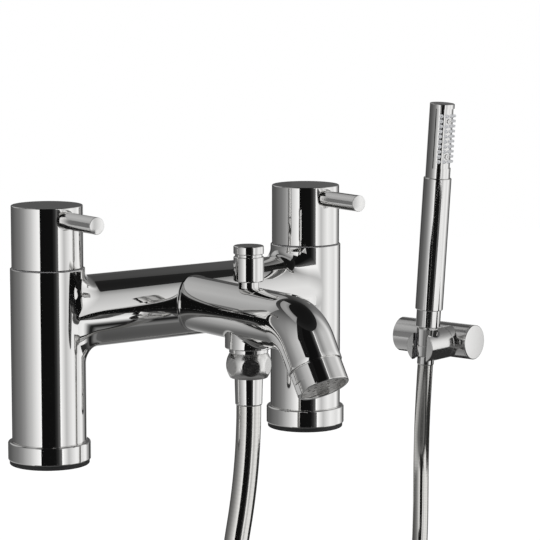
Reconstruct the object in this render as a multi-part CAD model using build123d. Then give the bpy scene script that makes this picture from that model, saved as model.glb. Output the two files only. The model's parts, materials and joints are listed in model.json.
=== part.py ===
from build123d import *
import os
from math import cos, hypot, pi, radians, sin, sqrt, tan

# Bath shower mixer with its hose, handset and wall holder, in millimetres.
# The origin lies on the deck, midway between the two legs. +X runs along the crossbar
# to the right-hand leg, the spout points towards -Y and +Z is up.

# Gaps shared by all pieces
SLIP_GAP = 0.05
FACE_GAP = 0.1
RUNNING_GAP = 0.05
CUT_OVERRUN = 4.0
EDGE_BEVEL = 0.6

# Legs and crossbar of the casting
LEG_SPACING = 180.0
LEG_DIAMETER = 41.7
LEG_TOP_HEIGHT = 110.5
BAR_DIAMETER = 40.8
BAR_DROP = 26.5
BAR_FILLET = 10.0
BAR_BORE_DIAMETER = 24.0

# Foot of each leg
GASKET_DIAMETER = 44.8
GASKET_THICKNESS = 2.5
FLANGE_DIAMETER = 46.4
FLANGE_HEIGHT = 10.5
FLANGE_BEVEL = 1.3
INLET_THREAD_DIAMETER = 26.44
INLET_THREAD_DEPTH = 22.0
INLET_WATERWAY_DIAMETER = 15.0
LEG_CHAMBER_DIAMETER = 31.0
LEG_CHAMBER_WALL = 5.0

# Spout of the casting
SPOUT_DIAMETER = 31.3
SPOUT_RISE = 0.4
SPOUT_STRAIGHT_REACH = 101.9
SPOUT_BEND_RADIUS = 22.0
SPOUT_BEND_ANGLE = 57.0
SPOUT_BEND_STEPS = 4
SPOUT_TAIL_LENGTH = 13.2
SPOUT_END_DIAMETER = 30.4
SPOUT_ROOT_FILLET = 9.0
SPOUT_BORE_DIAMETER = 21.0
SPOUT_END_BORE_DIAMETER = 20.4

# Hose outlet under the spout and the diverter chamber above it
OUTLET_REACH = 66.3
OUTLET_BOSS_DIAMETER = 26.7
OUTLET_BOSS_DROP = 18.9
OUTLET_BOSS_FILLET = 3.0
OUTLET_THREAD_DIAMETER = 18.4
OUTLET_THREAD_DEPTH = 5.0
DIVERTER_SEAT_THICKNESS = 2.5
DIVERTER_PORT_DIAMETER = 12.0
DIVERTER_CHAMBER_DIAMETER = 20.0
DIVERTER_CHAMBER_HEIGHT = 13.2
DIVERTER_BAFFLE_THICKNESS = 2.0
DIVERTER_LINK_DIAMETER = 6.4
DIVERTER_FRONT_WALL = 2.0
DIVERTER_LIFT = 8.0

# Diverter: knob, rod and plug that move, gland that stays
KNOB_DIAMETER = 17.0
KNOB_STAND_OFF = 3.0
KNOB_HEIGHT = 20.0
KNOB_CAP_HEIGHT = 4.6
KNOB_GROOVE_DIAMETER = 15.4
KNOB_GROOVE_WIDTH = 1.6
ROD_DIAMETER = 5.0
ROD_GRIP = 11.0
GLAND_DIAMETER = 11.5
GLAND_THREAD_DIAMETER = 9.0
PLUG_DIAMETER = 17.6
PLUG_WASHER_THICKNESS = 1.5

# Valve cartridge in each leg
CARTRIDGE_BORE_DIAMETER = 26.0
CARTRIDGE_DEPTH = 40.5
SEAT_SEAL_THICKNESS = 2.0
DISC_CHAMBER_DIAMETER = 19.0
DISC_CHAMBER_HEIGHT = 18.0
DISC_THICKNESS = 4.0
DISC_PORT_DIAMETER = 5.4
DISC_PORT_OFFSET = 4.9
CARTRIDGE_WINDOW_DIAMETER = 6.8
CARTRIDGE_WINDOW_HEIGHT = 11.5
CARTRIDGE_SHOULDER_DROP = 4.0
CARTRIDGE_NECK_DIAMETER = 15.0
CARTRIDGE_NECK_HEIGHT = 10.0
GLAND_NUT_HEX_WIDTH = 24.0
GLAND_NUT_HEX_HEIGHT = 4.0
SPINDLE_DIAMETER = 9.0
SPINDLE_FOOT_DIAMETER = 12.0
SPINDLE_FLANGE_THICKNESS = 3.0
SPINDLE_STUB_LENGTH = 13.5

# Handles
CAP_DIAMETER = 40.0
CAP_HEIGHT = 34.8
GLIDE_RING_THICKNESS = 0.3
GLIDE_RING_DIAMETER = 39.1
CAP_POCKET_DIAMETER = 31.6
CAP_POCKET_HEIGHT = 7.6
LEVER_DIAMETER = 9.5
LEVER_DROP = 8.6
LEVER_REACH = 54.0
LEVER_ROOT_REACH = 6.5
LEVER_RECESS_DIAMETER = 11.4
LEVER_RECESS_DEPTH = 2.6
HANDLE_SCREW_DIAMETER = 5.0
HANDLE_SCREW_LENGTH = 8.0
HANDLE_SCREW_RISE = 13.1
HANDLE_SCREW_SOCKET = 2.5

# Aerator at the end of the spout
AERATOR_DIAMETER = 29.2
AERATOR_LENGTH = 13.2
AERATOR_BORE_DIAMETER = 25.0
AERATOR_LIP_DIAMETER = 19.4
AERATOR_LIP_THICKNESS = 2.6
AERATOR_SPIGOT_DIAMETER = 26.2
AERATOR_SPIGOT_LENGTH = 6.0
AERATOR_INSERT_RECESS = 2.6
AERATOR_WASHER_THICKNESS = 1.8
AERATOR_HOLE_DIAMETER = 1.9
AERATOR_HOLE_PITCH = 4.2
AERATOR_HOLE_RINGS = 2
AERATOR_FLAT_DEPTH = 0.9
AERATOR_FLAT_HEIGHT = 6.0

# Hose connection at the mixer
NIPPLE_COLLAR_DIAMETER = 22.0
NIPPLE_COLLAR_HEIGHT = 2.5
NIPPLE_THREAD_DIAMETER = 20.6
NIPPLE_THREAD_LENGTH = 7.0
NIPPLE_BORE_DIAMETER = 12.4
HOSE_WASHER_THICKNESS = 1.5
HOSE_NUT_FLAT_WIDTH = 23.5
HOSE_NUT_DOME_DIAMETER = 25.4
HOSE_NUT_HEIGHT = 14.0
HOSE_NUT_FLOOR = 4.0
FERRULE_FLANGE_THICKNESS = 1.5
FERRULE_TOP_DIAMETER = 16.0
FERRULE_END_DIAMETER = 15.2
FERRULE_LENGTH = 15.7
FERRULE_BEVEL = 0.8
FERRULE_BORE_DIAMETER = 9.6

# Hose
HOSE_DIAMETER = 14.0

# Handset holder, whose own frame has its origin where the handset's axis crosses the jaw's
HOLDER_X = 639.4
HOLDER_Y = 543.6
HOLDER_Z = -80.8
HOLDER_TURN = 15.0
HANDSET_LEAN = 3.9
HANDSET_TURN = -13.0
HANDSET_LIFT = 35.0
JAW_DIAMETER = 28.4
JAW_NOSE = 10.7
JAW_TAIL = 22.4
JAW_SEAM_GAP = 0.1
JAW_SEAM_BEVEL = 0.5
JAW_SLOT_WIDTH = 15.2
JAW_LIP_BEVEL = 0.5
LINER_THICKNESS = 1.2
LINER_CLEARANCE = 0.25
ARM_OFFSET = 42.8
ARM_DIAMETER = 31.2
ARM_WALL_REACH = 57.0
ARM_FRONT_REACH = 23.0
ARM_POCKET_DIAMETER = 22.0
ARM_POCKET_DEPTH = 8.0
FRONT_CAP_THICKNESS = 2.2
FRONT_CAP_SPIGOT_DIAMETER = 24.0
FRONT_CAP_SPIGOT_LENGTH = 4.0
JAW_PIN_DIAMETER = 8.0
JAW_PIN_IN_JAW = 8.0
JAW_PIN_IN_ARM = 13.0
WALL_PLATE_THICKNESS = 6.0
WALL_SCREW_HOLE_DIAMETER = 5.2
WALL_SCREW_HEAD_DIAMETER = 9.6
WALL_SCREW_HEAD_DEPTH = 2.4
HOLDER_SCREW_DIAMETER = 4.0
HOLDER_SCREW_SETBACK = 3.4
HOLDER_SCREW_RECESS = 0.6

# Handset, in heights along its own axis above the holder's origin
CONE_NUT_FOOT = -8.8
CONE_NUT_TOP = 17.0
CONE_NUT_FOOT_DIAMETER = 16.6
CONE_NUT_TOP_DIAMETER = 20.0
CONE_NUT_GROOVE_HEIGHT = 1.3
CONE_NUT_GROOVE_WIDTH = 1.0
CONE_NUT_GROOVE_DEPTH = 0.5
CONE_NUT_FLOOR = 5.8
INLET_STUB_DIAMETER = 15.8
SWIVEL_FLANGE_THICKNESS = 2.9
SWIVEL_NECK_DIAMETER = 13.0
SWIVEL_SLEEVE_DIAMETER = 15.2
SWIVEL_SLEEVE_LENGTH = 7.6
SWIVEL_BORE_DIAMETER = 9.2
CONE_WASHER_THICKNESS = 2.0
CONNECTOR_FOOT = 18.0
CONNECTOR_DIAMETER = 21.8
CONNECTOR_SPIGOT_LENGTH = 8.0
CONNECTOR_BORE_DIAMETER = 12.0
CONNECTOR_STUB_BORE_DIAMETER = 10.0
CHECK_VALVE_LENGTH = 12.0
CHECK_VALVE_BORE_DIAMETER = 7.0
HANDLE_FOOT = 33.7
HANDLE_TOP = 152.1
HANDLE_DIAMETER = 24.8
HANDLE_WALL = 1.9
HEAD_TOP = 218.0
HEAD_DIAMETER = 22.0
HEAD_WALL = 0.9
HEAD_ROOF = 2.5
HEAD_SPIGOT_LENGTH = 10.0
WINDOW_FOOT = 161.1
WINDOW_TOP = 214.0
WINDOW_HALF_ANGLE = 70.0
SPRAY_SLEEVE_WALL = 1.5
SPRAY_SLEEVE_OVERLAP = 3.0
NOZZLE_ROWS = 10
NOZZLE_ROW_PITCH = 4.46
NOZZLE_FIRST_ROW = 167.4
NOZZLE_COLUMN_STEP = 28.5
NOZZLE_BASE_DIAMETER = 3.6
NOZZLE_TIP_DIAMETER = 2.0
NOZZLE_LENGTH = 2.6
NOZZLE_STEM_DIAMETER = 1.6
SPRAY_SCREW_ROWS = (1, 8)
SPRAY_SCREW_DIAMETER = 5.0
SPRAY_SCREW_HEIGHT = 0.8

# Places worked out from the sizes above
LEG_X = LEG_SPACING / 2
BAR_HEIGHT = LEG_TOP_HEIGHT - BAR_DROP
SPOUT_HEIGHT = BAR_HEIGHT + SPOUT_RISE
OUTLET_BOSS_FOOT_HEIGHT = SPOUT_HEIGHT - OUTLET_BOSS_DROP
BOSS_SEAT_HEIGHT = OUTLET_BOSS_FOOT_HEIGHT + OUTLET_THREAD_DEPTH + DIVERTER_SEAT_THICKNESS
BAFFLE_HEIGHT = BOSS_SEAT_HEIGHT + DIVERTER_CHAMBER_HEIGHT
SPOUT_BORE_TOP = SPOUT_HEIGHT + SPOUT_BORE_DIAMETER / 2
SPOUT_TOP = SPOUT_HEIGHT + SPOUT_DIAMETER / 2
KNOB_FOOT_HEIGHT = SPOUT_TOP + KNOB_STAND_OFF
CARTRIDGE_FLOOR_HEIGHT = LEG_TOP_HEIGHT - CARTRIDGE_DEPTH
CARTRIDGE_FOOT = CARTRIDGE_FLOOR_HEIGHT + SEAT_SEAL_THICKNESS
CARTRIDGE_SHOULDER = LEG_TOP_HEIGHT - CARTRIDGE_SHOULDER_DROP
CARTRIDGE_NECK_TOP = CARTRIDGE_SHOULDER + CARTRIDGE_NECK_HEIGHT
SPINDLE_TOP_HEIGHT = CARTRIDGE_NECK_TOP + SPINDLE_STUB_LENGTH
LEG_CHAMBER_FOOT = GASKET_THICKNESS + INLET_THREAD_DEPTH + LEG_CHAMBER_WALL
LEG_CHAMBER_TOP = CARTRIDGE_FLOOR_HEIGHT - LEG_CHAMBER_WALL
CAP_FOOT = LEG_TOP_HEIGHT + GLIDE_RING_THICKNESS + FACE_GAP
CAP_TOP_HEIGHT = CAP_FOOT + CAP_HEIGHT
LEVER_HEIGHT = CAP_TOP_HEIGHT - LEVER_DROP
HANDLE_SCREW_HEIGHT = CAP_FOOT + HANDLE_SCREW_RISE
NIPPLE_COLLAR_FOOT = OUTLET_BOSS_FOOT_HEIGHT - NIPPLE_COLLAR_HEIGHT
HOSE_NUT_TOP = NIPPLE_COLLAR_FOOT - FACE_GAP
HOSE_NUT_FOOT = HOSE_NUT_TOP - HOSE_NUT_HEIGHT
FERRULE_FLANGE_FOOT = HOSE_NUT_FOOT + HOSE_NUT_FLOOR
FERRULE_FOOT = HOSE_NUT_FOOT - FERRULE_LENGTH
NIPPLE_FOOT = FERRULE_FLANGE_FOOT + FERRULE_FLANGE_THICKNESS + HOSE_WASHER_THICKNESS
SWIVEL_FLANGE_FOOT = CONE_NUT_FOOT + CONE_NUT_FLOOR + FACE_GAP
SWIVEL_FLANGE_TOP = SWIVEL_FLANGE_FOOT + SWIVEL_FLANGE_THICKNESS
INLET_STUB_FOOT = SWIVEL_FLANGE_TOP + FACE_GAP + CONE_WASHER_THICKNESS
SWIVEL_SLEEVE_TOP = CONE_NUT_FOOT - FACE_GAP
SWIVEL_FOOT = SWIVEL_SLEEVE_TOP - SWIVEL_SLEEVE_LENGTH
HANDLE_BORE_DIAMETER = HANDLE_DIAMETER - 2 * HANDLE_WALL
HEAD_BORE_DIAMETER = HEAD_DIAMETER - 2 * HEAD_WALL
SPRAY_SLEEVE_DIAMETER = HEAD_BORE_DIAMETER - 2 * SLIP_GAP

HOLDER = Pos(HOLDER_X, HOLDER_Y, HOLDER_Z) * Rot(0, 0, HOLDER_TURN)
HANDSET_AXIS = HOLDER * Rot(HANDSET_LEAN, 0, 0)
HANDSET = HANDSET_AXIS * Rot(0, 0, HANDSET_TURN)

# Points of the hose's route, from the mixer's ferrule to the handset's swivel
HOSE_START = Vector(0, -OUTLET_REACH, FERRULE_FOOT)
HOSE_END = (HANDSET_AXIS * Pos(0, 0, SWIVEL_FOOT)).position
HOSE_FIRST_RUN = 35.0
HOSE_LAST_RUN = 40.0
HOSE_ROUTE = [
    HOSE_START,
    HOSE_START - Vector(0, 0, HOSE_FIRST_RUN),
    Vector(-14.0, -66.0, -70.0),
    Vector(-20.7, -67.5, -173.1),
    Vector(24.3, -24.9, -268.6),
    Vector(94.7, 38.6, -349.6),
    Vector(178.6, 114.6, -410.3),
    Vector(268.6, 199.0, -446.4),
    Vector(362.4, 287.0, -456.0),
    Vector(452.4, 371.4, -438.9),
    Vector(531.3, 445.4, -397.3),
    Vector(592.7, 502.9, -335.5),
    Vector(634.0, 543.5, -262.0),
    Vector(641.4, 552.4, -186.0),
    (HANDSET_AXIS * Pos(0, 0, SWIVEL_FOOT - HOSE_LAST_RUN)).position,
    HOSE_END,
]
ARC_RUN_SHARE = 0.45


# General forms

def turned(points):
    """A solid of revolution about Z from an outline of (radius, height) points."""
    outline = Polyline(*[(radius, 0, height) for radius, height in points], close=True)
    return revolve(make_face(outline), Axis.Z)


def rod(diameter, low, high):
    """An upright cylinder about Z between two heights."""
    return Pos(0, 0, low) * Cylinder(diameter / 2, high - low, align=(Align.CENTER, Align.CENTER, Align.MIN))


def ring(outer, inner, low, high):
    """An upright ring about Z between two heights."""
    return turned([(inner / 2, low), (outer / 2, low), (outer / 2, high), (inner / 2, high)])


def along_x(shape):
    """Turns a shape that stands along Z so that it lies along +X."""
    return Rot(0, 90, 0) * shape


def along_front(shape):
    """Turns a shape that stands along Z so that it lies along -Y."""
    return Rot(90, 0, 0) * shape


def grouped(shapes):
    """Several separate solids as one piece."""
    return Compound([solid for shape in shapes for solid in shape.solids()])


def seam_curves(shape):
    """The edges where two round walls meet, which are neither circles nor straight."""
    return [edge for edge in shape.edges() if edge.geom_type not in (GeomType.CIRCLE, GeomType.LINE)]


# Casting

def spout_station(angle):
    """The plane square to the spout's bend at an angle from its start."""
    turn = radians(angle)
    reach = SPOUT_STRAIGHT_REACH + SPOUT_BEND_RADIUS * sin(turn)
    height = SPOUT_HEIGHT - SPOUT_BEND_RADIUS * (1 - cos(turn))
    return Plane(origin=(0, -reach, height), x_dir=(1, 0, 0), z_dir=(0, -cos(turn), -sin(turn)))


def bent_tube(start_diameter, end_diameter):
    """The spout's bend and its straight tail, narrowing evenly: a loft through round sections and a cone."""
    bend_length = SPOUT_BEND_RADIUS * radians(SPOUT_BEND_ANGLE)
    narrowing = (end_diameter - start_diameter) / (bend_length + SPOUT_TAIL_LENGTH)
    sections = []
    for step in range(SPOUT_BEND_STEPS + 1):
        share = step / SPOUT_BEND_STEPS
        diameter = start_diameter + narrowing * bend_length * share
        sections.append(spout_station(SPOUT_BEND_ANGLE * share) * Circle(diameter / 2))
    bend_end = start_diameter + narrowing * bend_length
    tail = turned([(0, 0), (bend_end / 2, 0), (end_diameter / 2, SPOUT_TAIL_LENGTH), (0, SPOUT_TAIL_LENGTH)])
    return loft(sections) + Location(spout_station(SPOUT_BEND_ANGLE)) * tail


def mixer_casting():
    """Legs, crossbar, spout and hose outlet cast in one, with their waterways."""
    bar = Pos(-LEG_X, 0, BAR_HEIGHT) * along_x(rod(BAR_DIAMETER, 0, LEG_SPACING))
    spout = Pos(0, 0, SPOUT_HEIGHT) * along_front(rod(SPOUT_DIAMETER, 0, SPOUT_STRAIGHT_REACH))
    body = bar + spout
    body = fillet(seam_curves(body), SPOUT_ROOT_FILLET)
    rough_top = LEG_TOP_HEIGHT + BAR_FILLET
    legs = [Pos(side * LEG_X, 0, 0) * rod(LEG_DIAMETER, GASKET_THICKNESS, rough_top) for side in (-1, 1)]
    flared = body
    for leg in legs:
        flared = flared + leg
    joins = [edge for edge in seam_curves(flared) if abs(edge.center().X) > LEG_X - LEG_DIAMETER]
    body = fillet(joins, BAR_FILLET)
    trim = Pos(0, 0, LEG_TOP_HEIGHT) * Box(LEG_SPACING + 2 * LEG_DIAMETER, 2 * LEG_DIAMETER, 2 * BAR_FILLET,
                                           align=(Align.CENTER, Align.CENTER, Align.MIN))
    body = body - trim
    body = body + bent_tube(SPOUT_DIAMETER, SPOUT_END_DIAMETER)
    boss = Pos(0, -OUTLET_REACH, 0) * rod(OUTLET_BOSS_DIAMETER, OUTLET_BOSS_FOOT_HEIGHT, SPOUT_HEIGHT)
    body = body + boss
    return body - waterways()


def waterways():
    """Everything cut out of the casting: inlets, cartridge bores, ways for the water and the threads."""
    cuts = []
    for side in (-1, 1):
        place = Pos(side * LEG_X, 0, 0)
        cuts.append(place * rod(INLET_THREAD_DIAMETER, GASKET_THICKNESS - CUT_OVERRUN,
                                GASKET_THICKNESS + INLET_THREAD_DEPTH))
        cuts.append(place * rod(INLET_WATERWAY_DIAMETER, GASKET_THICKNESS, CARTRIDGE_FLOOR_HEIGHT + CUT_OVERRUN))
        cuts.append(place * rod(LEG_CHAMBER_DIAMETER, LEG_CHAMBER_FOOT, LEG_CHAMBER_TOP))
        cuts.append(place * rod(CARTRIDGE_BORE_DIAMETER, CARTRIDGE_FLOOR_HEIGHT, LEG_TOP_HEIGHT + CUT_OVERRUN))
    cuts.append(Pos(-LEG_X, 0, BAR_HEIGHT) * along_x(rod(BAR_BORE_DIAMETER, 0, LEG_SPACING)))
    cuts.extend(diverter_cuts())
    front_bore_reach = OUTLET_REACH + DIVERTER_CHAMBER_DIAMETER / 2 + DIVERTER_FRONT_WALL
    cuts.append(Pos(0, 0, SPOUT_HEIGHT) * along_front(rod(SPOUT_BORE_DIAMETER, front_bore_reach,
                                                          SPOUT_STRAIGHT_REACH + SLIP_GAP)))
    cuts.append(bent_tube(SPOUT_BORE_DIAMETER, SPOUT_END_BORE_DIAMETER))
    spigot_bore = AERATOR_SPIGOT_DIAMETER + 2 * SLIP_GAP
    cuts.append(spout_end() * rod(spigot_bore, -AERATOR_SPIGOT_LENGTH - FACE_GAP, CUT_OVERRUN))
    return cuts


def diverter_cuts():
    """The outlet thread, the two seats and the ways round the diverter's plug."""
    place = Pos(0, -OUTLET_REACH, 0)
    thread_top = OUTLET_BOSS_FOOT_HEIGHT + OUTLET_THREAD_DEPTH
    rear_way_height = BOSS_SEAT_HEIGHT + DIVERTER_CHAMBER_HEIGHT / 2
    upper_room_height = BAFFLE_HEIGHT + DIVERTER_BAFFLE_THICKNESS
    link_height = upper_room_height + DIVERTER_LINK_DIAMETER / 2
    link_end = OUTLET_REACH + DIVERTER_CHAMBER_DIAMETER / 2 + DIVERTER_FRONT_WALL + CUT_OVERRUN
    return [
        place * rod(OUTLET_THREAD_DIAMETER, OUTLET_BOSS_FOOT_HEIGHT - CUT_OVERRUN, thread_top),
        place * rod(DIVERTER_PORT_DIAMETER, OUTLET_BOSS_FOOT_HEIGHT, SPOUT_BORE_TOP),
        place * rod(DIVERTER_CHAMBER_DIAMETER, BOSS_SEAT_HEIGHT, BAFFLE_HEIGHT),
        place * rod(GLAND_THREAD_DIAMETER + 2 * SLIP_GAP, BAFFLE_HEIGHT, SPOUT_TOP + CUT_OVERRUN),
        Pos(0, 0, rear_way_height) * along_front(rod(DIVERTER_CHAMBER_HEIGHT - 2 * FACE_GAP, 0, OUTLET_REACH)),
        Pos(0, 0, link_height) * along_front(rod(DIVERTER_LINK_DIAMETER, OUTLET_REACH, link_end)),
    ]


def spout_end():
    """The frame of the spout's mouth, with +Z pointing out of it."""
    return Location(spout_station(SPOUT_BEND_ANGLE)) * Pos(0, 0, SPOUT_TAIL_LENGTH)


# Foot of a leg

def base_flange():
    """Polished ring round the foot of a leg."""
    outer = FLANGE_DIAMETER / 2
    inner = LEG_DIAMETER / 2 + SLIP_GAP
    low = GASKET_THICKNESS
    high = GASKET_THICKNESS + FLANGE_HEIGHT
    return turned([(inner, low), (outer - EDGE_BEVEL, low), (outer, low + EDGE_BEVEL),
                   (outer, high - FLANGE_BEVEL), (outer - FLANGE_BEVEL, high), (inner, high)])


def deck_gasket():
    """Black sealing ring between the leg and the deck."""
    return ring(GASKET_DIAMETER, INLET_THREAD_DIAMETER, 0, GASKET_THICKNESS)


# Cartridge

def seat_seal():
    """Rubber ring under the cartridge."""
    return ring(CARTRIDGE_BORE_DIAMETER - 2 * SLIP_GAP, INLET_WATERWAY_DIAMETER,
                CARTRIDGE_FLOOR_HEIGHT, CARTRIDGE_FOOT)


def cartridge_body():
    """Brass housing of the ceramic discs, with side windows and a neck for the spindle."""
    outer = CARTRIDGE_BORE_DIAMETER / 2 - SLIP_GAP
    chamber = DISC_CHAMBER_DIAMETER / 2
    neck = CARTRIDGE_NECK_DIAMETER / 2
    bore = SPINDLE_DIAMETER / 2 + RUNNING_GAP
    ceiling = CARTRIDGE_FOOT + DISC_CHAMBER_HEIGHT
    neck_top = CARTRIDGE_NECK_TOP
    body = turned([(chamber, CARTRIDGE_FOOT), (outer, CARTRIDGE_FOOT), (outer, CARTRIDGE_SHOULDER),
                   (neck, CARTRIDGE_SHOULDER), (neck, neck_top - EDGE_BEVEL), (neck - EDGE_BEVEL, neck_top),
                   (bore, neck_top), (bore, ceiling), (chamber, ceiling)])
    window_height = CARTRIDGE_FOOT + CARTRIDGE_WINDOW_HEIGHT
    window = Pos(-outer, 0, window_height) * along_x(rod(CARTRIDGE_WINDOW_DIAMETER, -CUT_OVERRUN,
                                                         2 * outer + CUT_OVERRUN))
    return body - window


def ceramic_disc(low, diameter):
    """Ceramic disc with two ports, standing on a height."""
    disc = rod(diameter, low, low + DISC_THICKNESS)
    ports = [Pos(0, side * DISC_PORT_OFFSET, 0) * rod(DISC_PORT_DIAMETER, low - CUT_OVERRUN,
                                                      low + DISC_THICKNESS + CUT_OVERRUN) for side in (-1, 1)]
    return disc - ports


def fixed_disc():
    """The lower disc, which stays."""
    return ceramic_disc(CARTRIDGE_FOOT, DISC_CHAMBER_DIAMETER - 2 * SLIP_GAP)


def moving_disc():
    """The upper disc, which turns with the spindle."""
    return ceramic_disc(CARTRIDGE_FOOT + DISC_THICKNESS + FACE_GAP, DISC_CHAMBER_DIAMETER - 2 * FACE_GAP)


def spindle():
    """Brass spindle that carries the handle and drives the moving disc."""
    low = CARTRIDGE_FOOT + 2 * DISC_THICKNESS + FACE_GAP
    flange_top = CARTRIDGE_FOOT + DISC_CHAMBER_HEIGHT - FACE_GAP
    flange_foot = flange_top - SPINDLE_FLANGE_THICKNESS
    foot = SPINDLE_FOOT_DIAMETER / 2
    flange = DISC_CHAMBER_DIAMETER / 2 - FACE_GAP
    shaft = SPINDLE_DIAMETER / 2
    return turned([(0, low), (foot, low), (foot, flange_foot), (flange, flange_foot), (flange, flange_top),
                   (shaft, flange_top), (shaft, SPINDLE_TOP_HEIGHT - EDGE_BEVEL),
                   (shaft - EDGE_BEVEL, SPINDLE_TOP_HEIGHT), (0, SPINDLE_TOP_HEIGHT)])


def gland_nut():
    """Nut that screws into the leg and holds the cartridge down, with a hexagon on top."""
    thread = rod(CARTRIDGE_BORE_DIAMETER - 2 * SLIP_GAP, CARTRIDGE_SHOULDER, LEG_TOP_HEIGHT)
    corner_radius = GLAND_NUT_HEX_WIDTH / 2 / cos(pi / 6)
    hexagon = extrude(Pos(0, 0, LEG_TOP_HEIGHT) * RegularPolygon(corner_radius, 6), GLAND_NUT_HEX_HEIGHT)
    bore = rod(CARTRIDGE_NECK_DIAMETER + 2 * SLIP_GAP, CARTRIDGE_SHOULDER - CUT_OVERRUN,
               LEG_TOP_HEIGHT + GLAND_NUT_HEX_HEIGHT + CUT_OVERRUN)
    return thread + hexagon - bore


# Handle

def glide_ring():
    """Thin ring that the handle turns on."""
    return ring(GLIDE_RING_DIAMETER, CAP_POCKET_DIAMETER, LEG_TOP_HEIGHT, LEG_TOP_HEIGHT + GLIDE_RING_THICKNESS)


def handle_cap():
    """Round handle with a pocket for the nut, a socket for the spindle and a recess for the lever."""
    outer = CAP_DIAMETER / 2
    cap = turned([(0, CAP_FOOT), (outer, CAP_FOOT), (outer, CAP_TOP_HEIGHT - EDGE_BEVEL),
                  (outer - EDGE_BEVEL, CAP_TOP_HEIGHT), (0, CAP_TOP_HEIGHT)])
    pocket = rod(CAP_POCKET_DIAMETER, CAP_FOOT - CUT_OVERRUN, CAP_FOOT + CAP_POCKET_HEIGHT)
    socket = rod(SPINDLE_DIAMETER + 2 * SLIP_GAP, CAP_FOOT, SPINDLE_TOP_HEIGHT + FACE_GAP)
    lever_hole = along_front(rod(LEVER_DIAMETER + 2 * SLIP_GAP, LEVER_ROOT_REACH, outer + CUT_OVERRUN))
    recess = along_front(rod(LEVER_RECESS_DIAMETER, outer - LEVER_RECESS_DEPTH, outer + CUT_OVERRUN))
    screw_hole = along_front(rod(HANDLE_SCREW_DIAMETER + 2 * SLIP_GAP, -outer - CUT_OVERRUN, 0))
    return cap - [pocket, socket, Pos(0, 0, LEVER_HEIGHT) * lever_hole, Pos(0, 0, LEVER_HEIGHT) * recess,
                  Pos(0, 0, HANDLE_SCREW_HEIGHT) * screw_hole]


def handle_lever():
    """Straight pin of the handle, with a flat, bevelled end."""
    radius = LEVER_DIAMETER / 2
    pin = turned([(0, LEVER_ROOT_REACH), (radius, LEVER_ROOT_REACH), (radius, LEVER_REACH - EDGE_BEVEL),
                  (radius - EDGE_BEVEL, LEVER_REACH), (0, LEVER_REACH)])
    return Pos(0, 0, LEVER_HEIGHT) * along_front(pin)


def grub_screw(diameter, length, socket_width):
    """Headless screw along +Z from zero, with a hexagon socket at its far end."""
    body = rod(diameter, 0, length)
    depth = diameter / 2
    socket = extrude(Pos(0, 0, length - depth) * RegularPolygon(socket_width / 2, 6), depth + CUT_OVERRUN)
    return body - socket


def handle_grub_screw():
    """Screw at the back of the handle that grips the spindle."""
    screw = grub_screw(HANDLE_SCREW_DIAMETER, HANDLE_SCREW_LENGTH, HANDLE_SCREW_SOCKET)
    place = Pos(0, SPINDLE_DIAMETER / 2 + SLIP_GAP, HANDLE_SCREW_HEIGHT)
    return place * Rot(-90, 0, 0) * screw


# Diverter

def diverter_knob():
    """Pull-up knob with a groove under its cap."""
    outer = KNOB_DIAMETER / 2
    neck = KNOB_GROOVE_DIAMETER / 2
    top = KNOB_FOOT_HEIGHT + KNOB_HEIGHT
    cap_foot = top - KNOB_CAP_HEIGHT
    groove_foot = cap_foot - KNOB_GROOVE_WIDTH
    knob = turned([(0, KNOB_FOOT_HEIGHT), (outer - EDGE_BEVEL, KNOB_FOOT_HEIGHT),
                   (outer, KNOB_FOOT_HEIGHT + EDGE_BEVEL), (outer, groove_foot - EDGE_BEVEL),
                   (neck, groove_foot), (neck, cap_foot), (outer, cap_foot + EDGE_BEVEL),
                   (outer, top - EDGE_BEVEL), (outer - EDGE_BEVEL, top), (0, top)])
    hole = rod(ROD_DIAMETER + 2 * SLIP_GAP, KNOB_FOOT_HEIGHT - CUT_OVERRUN, KNOB_FOOT_HEIGHT + ROD_GRIP)
    return Pos(0, -OUTLET_REACH, 0) * (knob - hole)


def plug_heights():
    """Heights of the plug's lower washer, its brass body and its upper washer, from the seat up."""
    low = BOSS_SEAT_HEIGHT + FACE_GAP
    high = BAFFLE_HEIGHT - FACE_GAP - DIVERTER_LIFT
    return low, low + PLUG_WASHER_THICKNESS, high - PLUG_WASHER_THICKNESS, high


def diverter_rod():
    """Rod from the knob down to the plug."""
    plug_foot = plug_heights()[1]
    return Pos(0, -OUTLET_REACH, 0) * rod(ROD_DIAMETER, plug_foot, KNOB_FOOT_HEIGHT + ROD_GRIP)


def diverter_plug():
    """Brass plug that shuts the hose's way when down and the spout's when up."""
    _, low, high, _ = plug_heights()
    return Pos(0, -OUTLET_REACH, 0) * ring(PLUG_DIAMETER, ROD_DIAMETER + 2 * SLIP_GAP, low, high)


def diverter_washers():
    """Rubber washers under and over the plug."""
    low, body_low, body_high, high = plug_heights()
    lower = rod(PLUG_DIAMETER, low, body_low)
    upper = ring(PLUG_DIAMETER, ROD_DIAMETER + 2 * SLIP_GAP, body_high, high)
    place = Pos(0, -OUTLET_REACH, 0)
    return grouped([place * lower, place * upper])


def diverter_gland():
    """Bush that guides the rod through the top of the spout."""
    bore = ROD_DIAMETER / 2 + RUNNING_GAP
    collar = GLAND_DIAMETER / 2
    thread = GLAND_THREAD_DIAMETER / 2
    collar_foot = SPOUT_TOP - EDGE_BEVEL
    high = KNOB_FOOT_HEIGHT - FACE_GAP
    bush = turned([(bore, SPOUT_BORE_TOP), (thread, SPOUT_BORE_TOP), (thread, collar_foot),
                   (collar, collar_foot), (collar, high), (bore, high)])
    return Pos(0, -OUTLET_REACH, 0) * bush


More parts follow.
